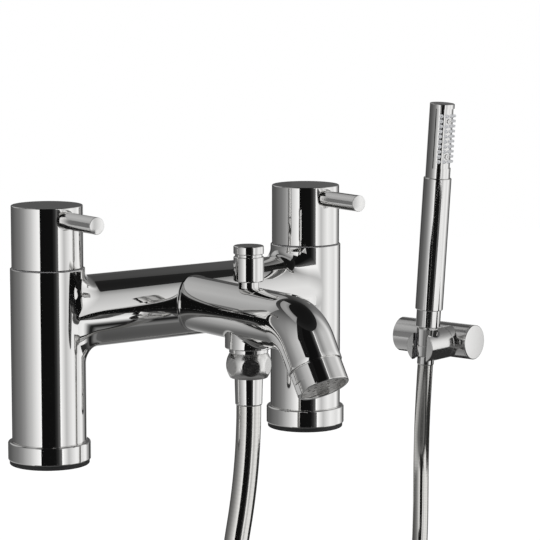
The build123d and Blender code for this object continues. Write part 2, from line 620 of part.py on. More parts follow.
def gland_spotface():
    """Flat seat for the bush's collar, cut into the top of the spout."""
    size = GLAND_DIAMETER + 2 * SLIP_GAP
    return Pos(0, -OUTLET_REACH, 0) * rod(size, SPOUT_TOP - EDGE_BEVEL, SPOUT_TOP + CUT_OVERRUN)


# Aerator

def aerator_ring():
    """Polished ring at the spout's mouth, with a spigot into the spout and a flat for a spanner."""
    outer = AERATOR_DIAMETER / 2
    bore = AERATOR_BORE_DIAMETER / 2
    lip = AERATOR_LIP_DIAMETER / 2
    spigot = AERATOR_SPIGOT_DIAMETER / 2
    body = turned([(lip, -AERATOR_SPIGOT_LENGTH), (spigot, -AERATOR_SPIGOT_LENGTH), (spigot, 0),
                   (outer - EDGE_BEVEL / 2, 0), (outer, EDGE_BEVEL / 2), (outer, AERATOR_LENGTH - EDGE_BEVEL),
                   (outer - EDGE_BEVEL, AERATOR_LENGTH), (bore, AERATOR_LENGTH), (bore, AERATOR_LIP_THICKNESS),
                   (lip, AERATOR_LIP_THICKNESS)])
    flat = Box(2 * CUT_OVERRUN, AERATOR_DIAMETER / 2, AERATOR_FLAT_HEIGHT + CUT_OVERRUN,
               align=(Align.MAX, Align.CENTER, Align.MIN))
    place = Pos(AERATOR_FLAT_DEPTH - outer, 0, AERATOR_LENGTH - AERATOR_FLAT_HEIGHT)
    return spout_end() * (body - place * flat)


def aerator_hole_places():
    """Places of the insert's holes: one in the middle and rings of six, twelve and so on round it."""
    places = [(0, 0)]
    for hole_ring in range(1, AERATOR_HOLE_RINGS + 1):
        count = 6 * hole_ring
        for index in range(count):
            turn = 2 * pi * index / count
            radius = AERATOR_HOLE_PITCH * hole_ring
            places.append((radius * cos(turn), radius * sin(turn)))
    return places


def aerator_insert():
    """Plastic jet former with its holes, set back in the ring."""
    diameter = AERATOR_BORE_DIAMETER - 2 * SLIP_GAP
    low = AERATOR_LIP_THICKNESS + AERATOR_WASHER_THICKNESS
    high = AERATOR_LENGTH - AERATOR_INSERT_RECESS
    disc = rod(diameter, low, high)
    hole = rod(AERATOR_HOLE_DIAMETER, low - CUT_OVERRUN, high + CUT_OVERRUN)
    return spout_end() * (disc - [Pos(x, y, 0) * hole for x, y in aerator_hole_places()])


def aerator_washer():
    """Rubber washer between the ring's lip and the jet former."""
    low = AERATOR_LIP_THICKNESS
    return spout_end() * ring(AERATOR_BORE_DIAMETER - 2 * SLIP_GAP, AERATOR_LIP_DIAMETER, low,
                              low + AERATOR_WASHER_THICKNESS)


# Hose connection at the mixer

def outlet_nipple():
    """Collar screwed into the outlet boss, with the thread that takes the hose nut."""
    bore = NIPPLE_BORE_DIAMETER / 2
    thread = NIPPLE_THREAD_DIAMETER / 2
    collar = NIPPLE_COLLAR_DIAMETER / 2
    upper = OUTLET_THREAD_DIAMETER / 2 - SLIP_GAP
    top = OUTLET_BOSS_FOOT_HEIGHT + OUTLET_THREAD_DEPTH - FACE_GAP
    body = turned([(bore, NIPPLE_FOOT), (thread, NIPPLE_FOOT), (thread, NIPPLE_COLLAR_FOOT),
                   (collar, NIPPLE_COLLAR_FOOT), (collar, OUTLET_BOSS_FOOT_HEIGHT),
                   (upper, OUTLET_BOSS_FOOT_HEIGHT), (upper, top), (bore, top)])
    return Pos(0, -OUTLET_REACH, 0) * body


def hose_nut():
    """Union nut: a ball cut off flat at both ends and by six flats."""
    middle = HOSE_NUT_FOOT + HOSE_NUT_HEIGHT / 2
    ball = Pos(0, 0, middle) * Sphere(HOSE_NUT_DOME_DIAMETER / 2)
    corner_radius = HOSE_NUT_FLAT_WIDTH / 2 / cos(pi / 6)
    prism = extrude(Pos(0, 0, HOSE_NUT_FOOT) * RegularPolygon(corner_radius, 6), HOSE_NUT_HEIGHT)
    thread_bore = rod(NIPPLE_THREAD_DIAMETER + 2 * SLIP_GAP, FERRULE_FLANGE_FOOT, HOSE_NUT_TOP + CUT_OVERRUN)
    tail_bore = rod(FERRULE_TOP_DIAMETER + 2 * SLIP_GAP, HOSE_NUT_FOOT - CUT_OVERRUN, HOSE_NUT_TOP)
    return Pos(0, -OUTLET_REACH, 0) * ((ball & prism) - [thread_bore, tail_bore])


def hose_washer():
    """Rubber washer between the nipple and the ferrule."""
    low = FERRULE_FLANGE_FOOT + FERRULE_FLANGE_THICKNESS
    return Pos(0, -OUTLET_REACH, 0) * ring(NIPPLE_THREAD_DIAMETER, NIPPLE_BORE_DIAMETER, low, NIPPLE_FOOT)


def hose_ferrule():
    """Crimped ferrule at the mixer's end of the hose."""
    bore = FERRULE_BORE_DIAMETER / 2
    top = FERRULE_TOP_DIAMETER / 2
    end = FERRULE_END_DIAMETER / 2
    flange = NIPPLE_THREAD_DIAMETER / 2
    flange_top = FERRULE_FLANGE_FOOT + FERRULE_FLANGE_THICKNESS
    body = turned([(bore, FERRULE_FOOT), (end - FERRULE_BEVEL, FERRULE_FOOT), (end, FERRULE_FOOT + FERRULE_BEVEL),
                   (top, HOSE_NUT_FOOT), (top, FERRULE_FLANGE_FOOT), (flange, FERRULE_FLANGE_FOOT),
                   (flange, flange_top), (bore, flange_top)])
    return Pos(0, -OUTLET_REACH, 0) * body


# Hose

def hose_bend_radii():
    """Radius of the arc at each inner point of the route: as large as its two runs allow."""
    radii = []
    for before, here, after in zip(HOSE_ROUTE, HOSE_ROUTE[1:], HOSE_ROUTE[2:]):
        turn = radians((here - before).get_angle(after - here))
        shorter = min((here - before).length, (after - here).length)
        radii.append(ARC_RUN_SHARE * shorter / tan(turn / 2))
    return radii


def shower_hose():
    """The hose as one tube along straight runs joined by tangent arcs."""
    radii = hose_bend_radii()
    path = FilletPolyline(*HOSE_ROUTE, radius=radii)
    section = Plane(origin=path @ 0, z_dir=path % 0) * Circle(HOSE_DIAMETER / 2)
    tube = sweep(section, path=path)
    expected = pi * (HOSE_DIAMETER / 2) ** 2 * path.length
    print("hose length", round(path.length, 1), "smallest radius", round(min(radii), 1),
          "volume against section times length", round(tube.volume / expected, 4))
    return tube


# Holder

def jaw_cone_diameter(height, extra):
    """Diameter of the cone that the holder's bore follows, at a height along the handset's axis."""
    slope = (CONE_NUT_TOP_DIAMETER - CONE_NUT_FOOT_DIAMETER) / (CONE_NUT_TOP - CONE_NUT_FOOT)
    return CONE_NUT_FOOT_DIAMETER + slope * (height - CONE_NUT_FOOT) + 2 * extra


def jaw_cone(extra, low, high):
    """The cone of the nut between two heights, grown by extra all round."""
    return turned([(0, low), (jaw_cone_diameter(low, extra) / 2, low),
                   (jaw_cone_diameter(high, extra) / 2, high), (0, high)])


def jaw_slot():
    """The slot that lets the hose out of the jaw, open towards the jaw's nose."""
    height = JAW_DIAMETER + 2 * CUT_OVERRUN
    slot = Box(JAW_NOSE + CUT_OVERRUN, JAW_SLOT_WIDTH, height, align=(Align.MAX, Align.CENTER, Align.CENTER))
    return Rot(HANDSET_LEAN, 0, 0) * slot


def jaw_blank(start, end, diameter):
    """A cylinder along the jaw's axis between two distances from its nose side."""
    return Pos(start, 0, 0) * along_x(rod(diameter, 0, end - start))


def holder_jaw():
    """Jaw with a tapered bore for the cone nut and a slot for the hose."""
    outer = JAW_DIAMETER / 2
    blank = Pos(-JAW_NOSE, 0, 0) * along_x(turned([
        (0, 0), (outer - JAW_LIP_BEVEL, 0), (outer, JAW_LIP_BEVEL),
        (outer, JAW_NOSE + JAW_TAIL - JAW_SEAM_BEVEL), (outer - JAW_SEAM_BEVEL, JAW_NOSE + JAW_TAIL),
        (0, JAW_NOSE + JAW_TAIL)]))
    reach = JAW_DIAMETER / 2 + CUT_OVERRUN
    bore = Rot(HANDSET_LEAN, 0, 0) * jaw_cone(LINER_CLEARANCE + LINER_THICKNESS, -reach, reach)
    pin_hole = jaw_blank(JAW_TAIL - JAW_PIN_IN_JAW, JAW_TAIL + CUT_OVERRUN, JAW_PIN_DIAMETER + 2 * SLIP_GAP)
    return HOLDER * (blank - [bore, jaw_slot(), pin_hole])


def holder_liner():
    """Plastic liner of the jaw's bore, cut to the jaw's round outside."""
    reach = JAW_DIAMETER / 2
    outside = jaw_cone(LINER_CLEARANCE + LINER_THICKNESS - SLIP_GAP, -reach, reach)
    inside = jaw_cone(LINER_CLEARANCE, -reach - CUT_OVERRUN, reach + CUT_OVERRUN)
    sleeve = Rot(HANDSET_LEAN, 0, 0) * (outside - inside)
    envelope = jaw_blank(-JAW_NOSE, JAW_TAIL, JAW_DIAMETER - 2 * JAW_LIP_BEVEL)
    return HOLDER * ((sleeve & envelope) - jaw_slot())


def holder_jaw_pin():
    """Pin that joins the jaw to the arm."""
    return HOLDER * jaw_blank(JAW_TAIL - JAW_PIN_IN_JAW + SLIP_GAP,
                              JAW_TAIL + JAW_SEAM_GAP + JAW_PIN_IN_ARM - SLIP_GAP, JAW_PIN_DIAMETER)


def holder_arm():
    """Round arm from the wall, with a stub for the jaw and a pocket for the wall plate."""
    front = ARM_FRONT_REACH - FRONT_CAP_THICKNESS
    outer = ARM_DIAMETER / 2
    place = Pos(ARM_OFFSET, 0, 0)
    arm = place * along_front(rod(ARM_DIAMETER, -ARM_WALL_REACH, front))
    stub_start = JAW_TAIL + JAW_SEAM_GAP
    stub_radius = JAW_DIAMETER / 2
    stub = Pos(stub_start, 0, 0) * along_x(turned([
        (0, 0), (stub_radius - JAW_SEAM_BEVEL, 0), (stub_radius, JAW_SEAM_BEVEL),
        (stub_radius, ARM_OFFSET - stub_start), (0, ARM_OFFSET - stub_start)]))
    pocket = place * along_front(rod(ARM_POCKET_DIAMETER, -ARM_WALL_REACH - CUT_OVERRUN,
                                     ARM_POCKET_DEPTH - ARM_WALL_REACH))
    spigot_hole = place * along_front(rod(FRONT_CAP_SPIGOT_DIAMETER + 2 * SLIP_GAP,
                                          front - FRONT_CAP_SPIGOT_LENGTH - FACE_GAP, front + CUT_OVERRUN))
    pin_hole = jaw_blank(stub_start - CUT_OVERRUN, stub_start + JAW_PIN_IN_ARM,
                         JAW_PIN_DIAMETER + 2 * SLIP_GAP)
    screw_hole = Pos(ARM_OFFSET, ARM_WALL_REACH - HOLDER_SCREW_SETBACK, 0) * rod(
        HOLDER_SCREW_DIAMETER + 2 * SLIP_GAP, -outer - CUT_OVERRUN, 0)
    return HOLDER * (arm + stub - [pocket, spigot_hole, pin_hole, screw_hole])


def holder_front_cap():
    """Plain disc that closes the arm's front end."""
    outer = ARM_DIAMETER / 2
    spigot = FRONT_CAP_SPIGOT_DIAMETER / 2
    front = ARM_FRONT_REACH
    seam = front - FRONT_CAP_THICKNESS
    disc = turned([(0, seam - FRONT_CAP_SPIGOT_LENGTH), (spigot, seam - FRONT_CAP_SPIGOT_LENGTH),
                   (spigot, seam), (outer, seam), (outer, front - EDGE_BEVEL), (outer - EDGE_BEVEL, front),
                   (0, front)])
    return HOLDER * Pos(ARM_OFFSET, 0, 0) * along_front(disc)


def wall_plate():
    """Plate that is screwed to the wall and fills the arm's pocket."""
    plate = rod(ARM_POCKET_DIAMETER - 2 * SLIP_GAP, -ARM_WALL_REACH, WALL_PLATE_THICKNESS - ARM_WALL_REACH)
    hole = rod(WALL_SCREW_HOLE_DIAMETER, -ARM_WALL_REACH - CUT_OVERRUN, 0)
    head = rod(WALL_SCREW_HEAD_DIAMETER, WALL_PLATE_THICKNESS - ARM_WALL_REACH - WALL_SCREW_HEAD_DEPTH, 0)
    return HOLDER * Pos(ARM_OFFSET, 0, 0) * along_front(plate - [hole, head])


def holder_grub_screw():
    """Screw under the arm that grips the wall plate."""
    tip = ARM_POCKET_DIAMETER / 2
    length = ARM_DIAMETER / 2 - tip - HOLDER_SCREW_RECESS
    screw = grub_screw(HOLDER_SCREW_DIAMETER, length, HOLDER_SCREW_DIAMETER / 2)
    place = Pos(ARM_OFFSET, ARM_WALL_REACH - HOLDER_SCREW_SETBACK, -tip)
    return HOLDER * place * Rot(180, 0, 0) * screw


# Handset

def cone_nut():
    """Tapered union nut that seats in the jaw, with a turned groove."""
    foot = CONE_NUT_FOOT_DIAMETER / 2
    top = CONE_NUT_TOP_DIAMETER / 2
    half_groove = CONE_NUT_GROOVE_WIDTH / 2
    low_edge = CONE_NUT_GROOVE_HEIGHT - half_groove
    high_edge = CONE_NUT_GROOVE_HEIGHT + half_groove
    low_radius = jaw_cone_diameter(low_edge, 0) / 2
    high_radius = jaw_cone_diameter(high_edge, 0) / 2
    thread = INLET_STUB_DIAMETER / 2 + SLIP_GAP
    neck = SWIVEL_NECK_DIAMETER / 2 + RUNNING_GAP
    shelf = CONE_NUT_FOOT + CONE_NUT_FLOOR
    body = turned([(neck, CONE_NUT_FOOT), (foot - EDGE_BEVEL, CONE_NUT_FOOT), (foot, CONE_NUT_FOOT + EDGE_BEVEL),
                   (low_radius, low_edge), (low_radius - CONE_NUT_GROOVE_DEPTH, low_edge),
                   (high_radius - CONE_NUT_GROOVE_DEPTH, high_edge), (high_radius, high_edge),
                   (top, CONE_NUT_TOP - EDGE_BEVEL), (top - EDGE_BEVEL, CONE_NUT_TOP), (thread, CONE_NUT_TOP),
                   (thread, shelf), (neck, shelf)])
    return HANDSET * body


def swivel_ferrule():
    """Crimped end of the hose, whose flange turns inside the cone nut."""
    bore = SWIVEL_BORE_DIAMETER / 2
    sleeve = SWIVEL_SLEEVE_DIAMETER / 2
    neck = SWIVEL_NECK_DIAMETER / 2
    flange = INLET_STUB_DIAMETER / 2 - FACE_GAP
    body = turned([(bore, SWIVEL_FOOT), (sleeve - FERRULE_BEVEL, SWIVEL_FOOT), (sleeve, SWIVEL_FOOT + FERRULE_BEVEL),
                   (sleeve, SWIVEL_SLEEVE_TOP), (neck, SWIVEL_SLEEVE_TOP), (neck, SWIVEL_FLANGE_FOOT),
                   (flange, SWIVEL_FLANGE_FOOT), (flange, SWIVEL_FLANGE_TOP), (bore, SWIVEL_FLANGE_TOP)])
    return HANDSET * body


def cone_washer():
    """Rubber washer between the inlet stub and the swivel."""
    low = SWIVEL_FLANGE_TOP + FACE_GAP
    return HANDSET * ring(INLET_STUB_DIAMETER, CONNECTOR_STUB_BORE_DIAMETER, low, INLET_STUB_FOOT)


def handset_connector():
    """Inlet piece: a stub for the nut below and a spigot into the handle above."""
    outer = CONNECTOR_DIAMETER / 2
    stub = INLET_STUB_DIAMETER / 2
    spigot = HANDLE_BORE_DIAMETER / 2 - SLIP_GAP
    bore = CONNECTOR_BORE_DIAMETER / 2
    stub_bore = CONNECTOR_STUB_BORE_DIAMETER / 2
    shelf = CONNECTOR_FOOT + EDGE_BEVEL
    top = HANDLE_FOOT + CONNECTOR_SPIGOT_LENGTH
    body = turned([(stub_bore, INLET_STUB_FOOT), (stub, INLET_STUB_FOOT), (stub, CONNECTOR_FOOT),
                   (outer - EDGE_BEVEL, CONNECTOR_FOOT), (outer, CONNECTOR_FOOT + EDGE_BEVEL),
                   (outer, HANDLE_FOOT), (spigot, HANDLE_FOOT), (spigot, top), (bore, top), (bore, shelf),
                   (stub_bore, shelf)])
    return HANDSET * body


def handset_check_valve():
    """Check valve cartridge in the connector."""
    low = CONNECTOR_FOOT + EDGE_BEVEL
    return HANDSET * ring(CONNECTOR_BORE_DIAMETER - 2 * SLIP_GAP, CHECK_VALVE_BORE_DIAMETER, low,
                          low + CHECK_VALVE_LENGTH)


def handset_handle():
    """Straight tube that is held in the hand."""
    outer = HANDLE_DIAMETER / 2
    inner = HANDLE_BORE_DIAMETER / 2
    body = turned([(inner, HANDLE_FOOT), (outer - EDGE_BEVEL, HANDLE_FOOT), (outer, HANDLE_FOOT + EDGE_BEVEL),
                   (outer, HANDLE_TOP - EDGE_BEVEL), (outer - EDGE_BEVEL, HANDLE_TOP), (inner, HANDLE_TOP)])
    return HANDSET * body


def window_cut():
    """Wedge about the handset's axis that opens the window of the head towards the spray side."""
    reach = HEAD_DIAMETER / 2 + CUT_OVERRUN
    spread = radians(WINDOW_HALF_ANGLE)
    middle = (0, -reach)
    left = (-reach * sin(spread), -reach * cos(spread))
    right = (reach * sin(spread), -reach * cos(spread))
    outline = [Line((0, 0), left), ThreePointArc(left, middle, right), Line(right, (0, 0))]
    sector = extrude(make_face(outline), WINDOW_TOP - WINDOW_FOOT)
    return Pos(0, 0, WINDOW_FOOT) * sector


def handset_head():
    """Chromed shell of the head, closed on top, with a window for the nozzles and a spigot below."""
    outer = HEAD_DIAMETER / 2
    inner = HEAD_BORE_DIAMETER / 2
    spigot = HANDLE_BORE_DIAMETER / 2 - SLIP_GAP
    spigot_bore = SPRAY_SLEEVE_DIAMETER / 2 - SPRAY_SLEEVE_WALL
    foot = HANDLE_TOP - HEAD_SPIGOT_LENGTH
    shelf = WINDOW_FOOT - SPRAY_SLEEVE_OVERLAP
    ceiling = HEAD_TOP - HEAD_ROOF
    body = turned([(spigot_bore, foot), (spigot, foot), (spigot, HANDLE_TOP), (outer, HANDLE_TOP),
                   (outer, HEAD_TOP - EDGE_BEVEL), (outer - EDGE_BEVEL, HEAD_TOP), (0, HEAD_TOP), (0, ceiling),
                   (inner, ceiling), (inner, shelf), (spigot_bore, shelf)])
    return HANDSET * (body - window_cut())


def nozzle_places():
    """Turn about the axis and height of each nozzle: four columns, less the screws' rows in the middle two."""
    places = []
    for column in range(4):
        turn = (column - 3 / 2) * NOZZLE_COLUMN_STEP
        for row in range(NOZZLE_ROWS):
            if row in SPRAY_SCREW_ROWS and column in (1, 2):
                continue
            places.append((turn, NOZZLE_FIRST_ROW + row * NOZZLE_ROW_PITCH))
    return places


def facing_out(shape, turn, height, radius):
    """Stands a shape made along +Z on the sleeve, at a turn from the spray's middle, at a radius."""
    return Rot(0, 0, turn) * Pos(0, -radius, height) * Rot(90, 0, 0) * shape


def spray_sleeve():
    """Inner sleeve behind the window, pierced for the nozzles."""
    outer = SPRAY_SLEEVE_DIAMETER
    inner = outer - 2 * SPRAY_SLEEVE_WALL
    low = WINDOW_FOOT - SPRAY_SLEEVE_OVERLAP
    sleeve = ring(outer, inner, low, HEAD_TOP - HEAD_ROOF - FACE_GAP)
    depth = 2 * SPRAY_SLEEVE_WALL
    hole = rod(NOZZLE_STEM_DIAMETER + 2 * SLIP_GAP, -depth, depth)
    holes = [facing_out(hole, turn, height, outer / 2) for turn, height in nozzle_places()]
    return HANDSET * (sleeve - holes)


def spray_nozzles():
    """Soft nozzles: a stem through the sleeve and a tapered tip outside it."""
    base = NOZZLE_BASE_DIAMETER / 2
    tip = NOZZLE_TIP_DIAMETER / 2
    stem = NOZZLE_STEM_DIAMETER / 2
    nozzle = turned([(0, -SPRAY_SLEEVE_WALL), (stem, -SPRAY_SLEEVE_WALL), (stem, 0), (base, 0),
                     (tip, NOZZLE_LENGTH), (0, NOZZLE_LENGTH)])
    radius = SPRAY_SLEEVE_DIAMETER / 2
    return grouped([HANDSET * facing_out(nozzle, turn, height, radius) for turn, height in nozzle_places()])


def spray_screws():
    """Two flat screw heads on the spray's middle line."""
    radius = SPRAY_SCREW_DIAMETER / 2
    head = turned([(0, 0), (radius, 0), (radius - SPRAY_SCREW_HEIGHT / 2, SPRAY_SCREW_HEIGHT),
                   (0, SPRAY_SCREW_HEIGHT)])
    place = SPRAY_SLEEVE_DIAMETER / 2
    return grouped([HANDSET * facing_out(head, 0, NOZZLE_FIRST_ROW + row * NOZZLE_ROW_PITCH, place)
                    for row in SPRAY_SCREW_ROWS])


# All pieces by name

def leg_pieces(side_name, side):
    """The pieces that stand on one leg's axis."""
    place = Pos(side * LEG_X, 0, 0)
    makers = {
        "deck_gasket": deck_gasket, "base_flange": base_flange, "seat_seal": seat_seal,
        "cartridge_body": cartridge_body, "fixed_disc": fixed_disc, "moving_disc": moving_disc,
        "spindle": spindle, "gland_nut": gland_nut, "glide_ring": glide_ring, "handle_cap": handle_cap,
        "handle_lever": handle_lever, "handle_grub_screw": handle_grub_screw,
    }
    return {f"{side_name}_{name}": place * maker() for name, maker in makers.items()}


def all_pieces():
    """Every piece by the name of its node."""
    pieces = {"mixer_body": mixer_casting() - gland_spotface()}
    pieces.update(leg_pieces("left", -1))
    pieces.update(leg_pieces("right", 1))
    makers = [
        diverter_knob, diverter_rod, diverter_plug, diverter_washers, diverter_gland,
        aerator_ring, aerator_insert, aerator_washer, outlet_nipple, hose_nut, hose_washer, hose_ferrule,
        shower_hose, holder_jaw, holder_liner, holder_jaw_pin, holder_arm, holder_front_cap, wall_plate,
        holder_grub_screw, cone_nut, swivel_ferrule, cone_washer, handset_connector, handset_check_valve,
        handset_handle, handset_head, spray_sleeve, spray_nozzles, spray_screws,
    ]
    pieces.update({maker.__name__: maker() for maker in makers})
    return pieces


os.makedirs("parts", exist_ok=True)
for name, piece in all_pieces().items():
    export_step(piece, f"parts/{name}.step")
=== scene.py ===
"""Bath shower mixer with its hose, handset and wall holder, dressed for pictures."""

import json
import logging
from dataclasses import dataclass, field
from enum import Enum
from math import cos, pi, radians, sin
from typing import Any, Callable, Sequence

import bmesh
import bpy
import numpy as np
from mathutils import Matrix, Vector

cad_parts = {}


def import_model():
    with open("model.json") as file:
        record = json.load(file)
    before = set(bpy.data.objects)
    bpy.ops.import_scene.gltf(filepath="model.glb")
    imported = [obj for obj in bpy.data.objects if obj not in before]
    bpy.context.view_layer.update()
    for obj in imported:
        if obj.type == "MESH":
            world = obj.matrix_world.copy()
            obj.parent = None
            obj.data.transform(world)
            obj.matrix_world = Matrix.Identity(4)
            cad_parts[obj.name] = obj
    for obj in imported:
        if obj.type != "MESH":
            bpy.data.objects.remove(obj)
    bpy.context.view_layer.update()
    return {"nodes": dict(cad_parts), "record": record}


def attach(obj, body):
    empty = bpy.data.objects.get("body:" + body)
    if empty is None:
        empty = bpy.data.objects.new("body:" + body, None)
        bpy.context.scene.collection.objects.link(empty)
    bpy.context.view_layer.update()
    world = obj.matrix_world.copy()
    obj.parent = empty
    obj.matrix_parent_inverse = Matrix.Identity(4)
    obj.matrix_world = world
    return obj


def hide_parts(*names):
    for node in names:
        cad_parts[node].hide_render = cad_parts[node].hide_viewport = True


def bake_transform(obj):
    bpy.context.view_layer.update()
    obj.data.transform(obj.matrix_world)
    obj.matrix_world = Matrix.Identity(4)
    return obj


LOG = logging.getLogger("bath_mixer")
MILLIMETRE = 0.001
SEGMENTS = 96
FINE_SEGMENTS = 144
WELD = 1e-7
SHARP_ANGLE = 32.0
CUTTER_MARGIN = 4.0
Array = np.ndarray
Object = bpy.types.Object
Mesh = bpy.types.Mesh
Material = bpy.types.Material
Corner = tuple[float, float, float]


class Body(Enum):
    """The rigid bodies that pieces move with."""

    FIXED = "mixer_and_holder"
    LEFT_HANDLE = "left_handle"
    RIGHT_HANDLE = "right_handle"
    DIVERTER = "diverter"
    HOSE_END = "hose_end"
    HANDSET = "handset"


# Shader graph


def operator(operation: str, swapped: bool = False) -> Callable[..., "Signal"]:
    """A method of Signal that adds a Math node.

    Args:
        operation: The node's operation.
        swapped: Whether the other number comes first.

    Returns:
        The method, which takes the other numbers and returns the result.
    """

    def method(signal: "Signal", *others: Any) -> "Signal":
        """The operation's result."""
        values = (*others, signal) if swapped else (signal, *others)
        return signal.graph.number("Math", {"operation": operation}, dict(enumerate(values)))

    return method


class Signal:
    """A number in a shader graph; arithmetic on it adds Math nodes."""

    def __init__(self, graph: "Graph", socket: Any) -> None:
        """Wraps an output socket that carries a number."""
        self.graph = graph
        self.socket = socket

    __add__ = __radd__ = operator("ADD")
    __mul__ = __rmul__ = operator("MULTIPLY")
    __sub__ = operator("SUBTRACT")
    __rsub__ = operator("SUBTRACT", swapped=True)
    __truediv__ = operator("DIVIDE")
    sine = operator("SINE")
    bearing = operator("ARCTAN2")
    power = operator("POWER")
    smaller = operator("MINIMUM")
    larger = operator("MAXIMUM")


class Graph:
    """A node tree that is filled in by calls."""

    def __init__(self, tree: Any) -> None:
        """Empties the node tree of a material or a world so that it can be filled."""
        self.tree = tree
        self.tree.nodes.clear()

    def node(self, kind: str, settings: dict[str, Any] | None = None,
             links: dict[Any, Any] | None = None) -> Any:
        """Adds a node.

        Args:
            kind: The shader node's type, such as TexNoise.
            settings: Properties to set first; "stops" fills a ramp with (place, level) pairs.
            links: Socket name or number to a value, a Signal or an output socket.

        Returns:
            The new node.
        """
        made = self.tree.nodes.new(f"ShaderNode{kind}")
        for name, value in (settings or {}).items():
            if name == "stops":
                self._fill_ramp(made.color_ramp, value)
            else:
                setattr(made, name, value)
        for name, value in (links or {}).items():
            source = value.socket if isinstance(value, Signal) else value
            if isinstance(source, bpy.types.NodeSocket):
                self.tree.links.new(source, made.inputs[name])
            else:
                made.inputs[name].default_value = source
        return made

    def number(self, kind: str, settings: dict[str, Any], links: dict[Any, Any], output: Any = 0) -> Signal:
        """Adds a node and returns one of its outputs as a number."""
        return Signal(self, self.node(kind, settings, links).outputs[output])

    @staticmethod
    def _fill_ramp(ramp: Any, stops: Sequence[tuple[float, float]]) -> None:
        """Sets a ramp's stops from (place, grey level) pairs."""
        while len(ramp.elements) < len(stops):
            ramp.elements.new(0.5)
        for element, (place, level) in zip(ramp.elements, stops):
            element.position = place
            element.color = (level, level, level, 1.0)


def new_material(name: str) -> tuple[Material, Graph]:
    """Makes an empty material and the graph that fills it."""
    made = bpy.data.materials.new(name)
    made.use_nodes = True
    return made, Graph(made.node_tree)


# Finishes


@dataclass(frozen=True)
class Finish:
    """What a surface is made of and how it is worked.

    The colour varies a little over the surface with a broad noise, the roughness with a finer one,
    and a bump gives the surface its grain.
    """

    name: str
    slot: str
    colour: Corner
    metallic: float = 0.0
    roughness: float = 0.4
    roughness_spread: float = 0.05
    mottle: float = 0.03
    mottle_scale: float = 60.0
    grain: float = 0.0
    grain_scale: float = 900.0
    coat: float = 0.0
    subsurface: float = 0.0

    def material(self) -> Material:
        """Makes the material, or returns it if it is made already."""
        made = bpy.data.materials.get(self.name)
        if made is None:
            made, graph = new_material(self.name)
            self.fill(graph)
        return made

    def fill(self, graph: Graph) -> None:
        """Fills the material's graph."""
        place = graph.node("TexCoord").outputs["Object"]
        broad = self.noise(graph, place, self.mottle_scale)
        fine = self.noise(graph, place, self.mottle_scale * 6)
        shader = graph.node("BsdfPrincipled", {}, {
            "Base Color": self.tint(graph, broad),
            "Metallic": self.metallic,
            "Roughness": self.roughness + (fine - 0.5) * self.roughness_spread,
            "Coat Weight": self.coat,
            "Coat Roughness": 0.08,
            "Subsurface Weight": self.subsurface,
            "Subsurface Radius": (0.002, 0.002, 0.002),
        })
        if self.grain:
            height = self.relief(graph, place)
            bump = graph.node("Bump", {}, {"Strength": 1.0, "Distance": self.grain, "Height": height})
            graph.tree.links.new(bump.outputs["Normal"], shader.inputs["Normal"])
        graph.node("OutputMaterial", {}, {"Surface": shader.outputs["BSDF"]})

    def tint(self, graph: Graph, amount: Signal) -> Any:
        """The surface's colour, a little darker where a noise is high."""
        return self.darkened(graph, amount * 0.5, 1 - 4 * self.mottle)

    def darkened(self, graph: Graph, share: Signal, shade: float) -> Any:
        """The plain colour mixed with a shade of it by a share."""
        darker = tuple(channel * shade for channel in self.colour)
        mix = graph.node("Mix", {"data_type": "RGBA"}, {
            "Factor": share, 6: (*self.colour, 1.0), 7: (*darker, 1.0)})
        return mix.outputs[2]

    def relief(self, graph: Graph, place: Any) -> Signal:
        """The height of the surface's grain."""
        return self.noise(graph, place, self.grain_scale)

    @staticmethod
    def noise(graph: Graph, place: Any, scale: float) -> Signal:
        """A soft noise with features a metre divided by scale across."""
        return graph.number("TexNoise", {}, {"Vector": place, "Scale": scale, "Detail": 3.0}, "Fac")


@dataclass(frozen=True)
class SpiralHose(Finish):
    """Smooth silver hose with a flat wound band under its clear skin.

    The band follows the surface's own coordinates: turns along the hose plus the share of a turn round it.
    """

    pitch: float = 2.6
    # painted shade in the band's grooves: how dark it is and how much of it is mixed in
    painted_groove_shade: float = 0.72
    painted_groove_share: float = 0.15

    def relief(self, graph: Graph, place: Any) -> Signal:
        """Rounded ridges, one for each turn of the band."""
        return self.band(graph)

    def tint(self, graph: Graph, amount: Signal) -> Any:
        """Silver with painted shade in the grooves between the turns of the band."""
        # painted shade: the colour darkens where the band is low, in the grooves between its turns
        share = (1 - self.band(graph)).power(3.0) * self.painted_groove_share
        return self.darkened(graph, share, self.painted_groove_shade)

    def band(self, graph: Graph) -> Signal:
        """Height of the band from 0 in the groove to 1 on its crown."""
        axes = graph.node("SeparateXYZ", {}, {0: graph.node("UVMap").outputs["UV"]})
        turn, along = (Signal(graph, axes.outputs[name]) for name in "XY")
        return ((along * (1.0 / (MILLIMETRE * self.pitch)) + turn) * (2 * pi)).sine() * 0.5 + 0.5


CHROME = Finish("polished_chrome", "chrome", (0.885, 0.88, 0.87), 1.0, 0.035, 0.02, 0.01, 35.0, 0.00004, 28.0)
TURNED_CHROME = Finish("turned_chrome", "chrome", (0.89, 0.885, 0.875), 1.0, 0.04, 0.02, 0.008, 35.0)
SATIN_CHROME = Finish("satin_chrome", "chrome", (0.9, 0.895, 0.885), 1.0, 0.14, 0.04, 0.01, 50.0)
MATT_CHROME = Finish("matt_chrome", "chrome", (0.9, 0.895, 0.88), 1.0, 0.22, 0.04, 0.01, 50.0)
BRASS = Finish("turned_brass", "brass", (0.74, 0.56, 0.28), 1.0, 0.3, 0.1, 0.03, 90.0, 0.00003)
CERAMIC = Finish("lapped_ceramic", "ceramic", (0.9, 0.89, 0.86), 0.0, 0.2, 0.03, 0.01, 80.0)
RUBBER = Finish("moulded_rubber", "black_rubber", (0.018, 0.018, 0.019), 0.0, 0.55, 0.1, 0.05, 120.0, 0.00006)
GREY_PLASTIC = Finish("moulded_grey", "grey_plastic", (0.35, 0.35, 0.36), 0.0, 0.45, 0.08, 0.02, 90.0, 0.00003)
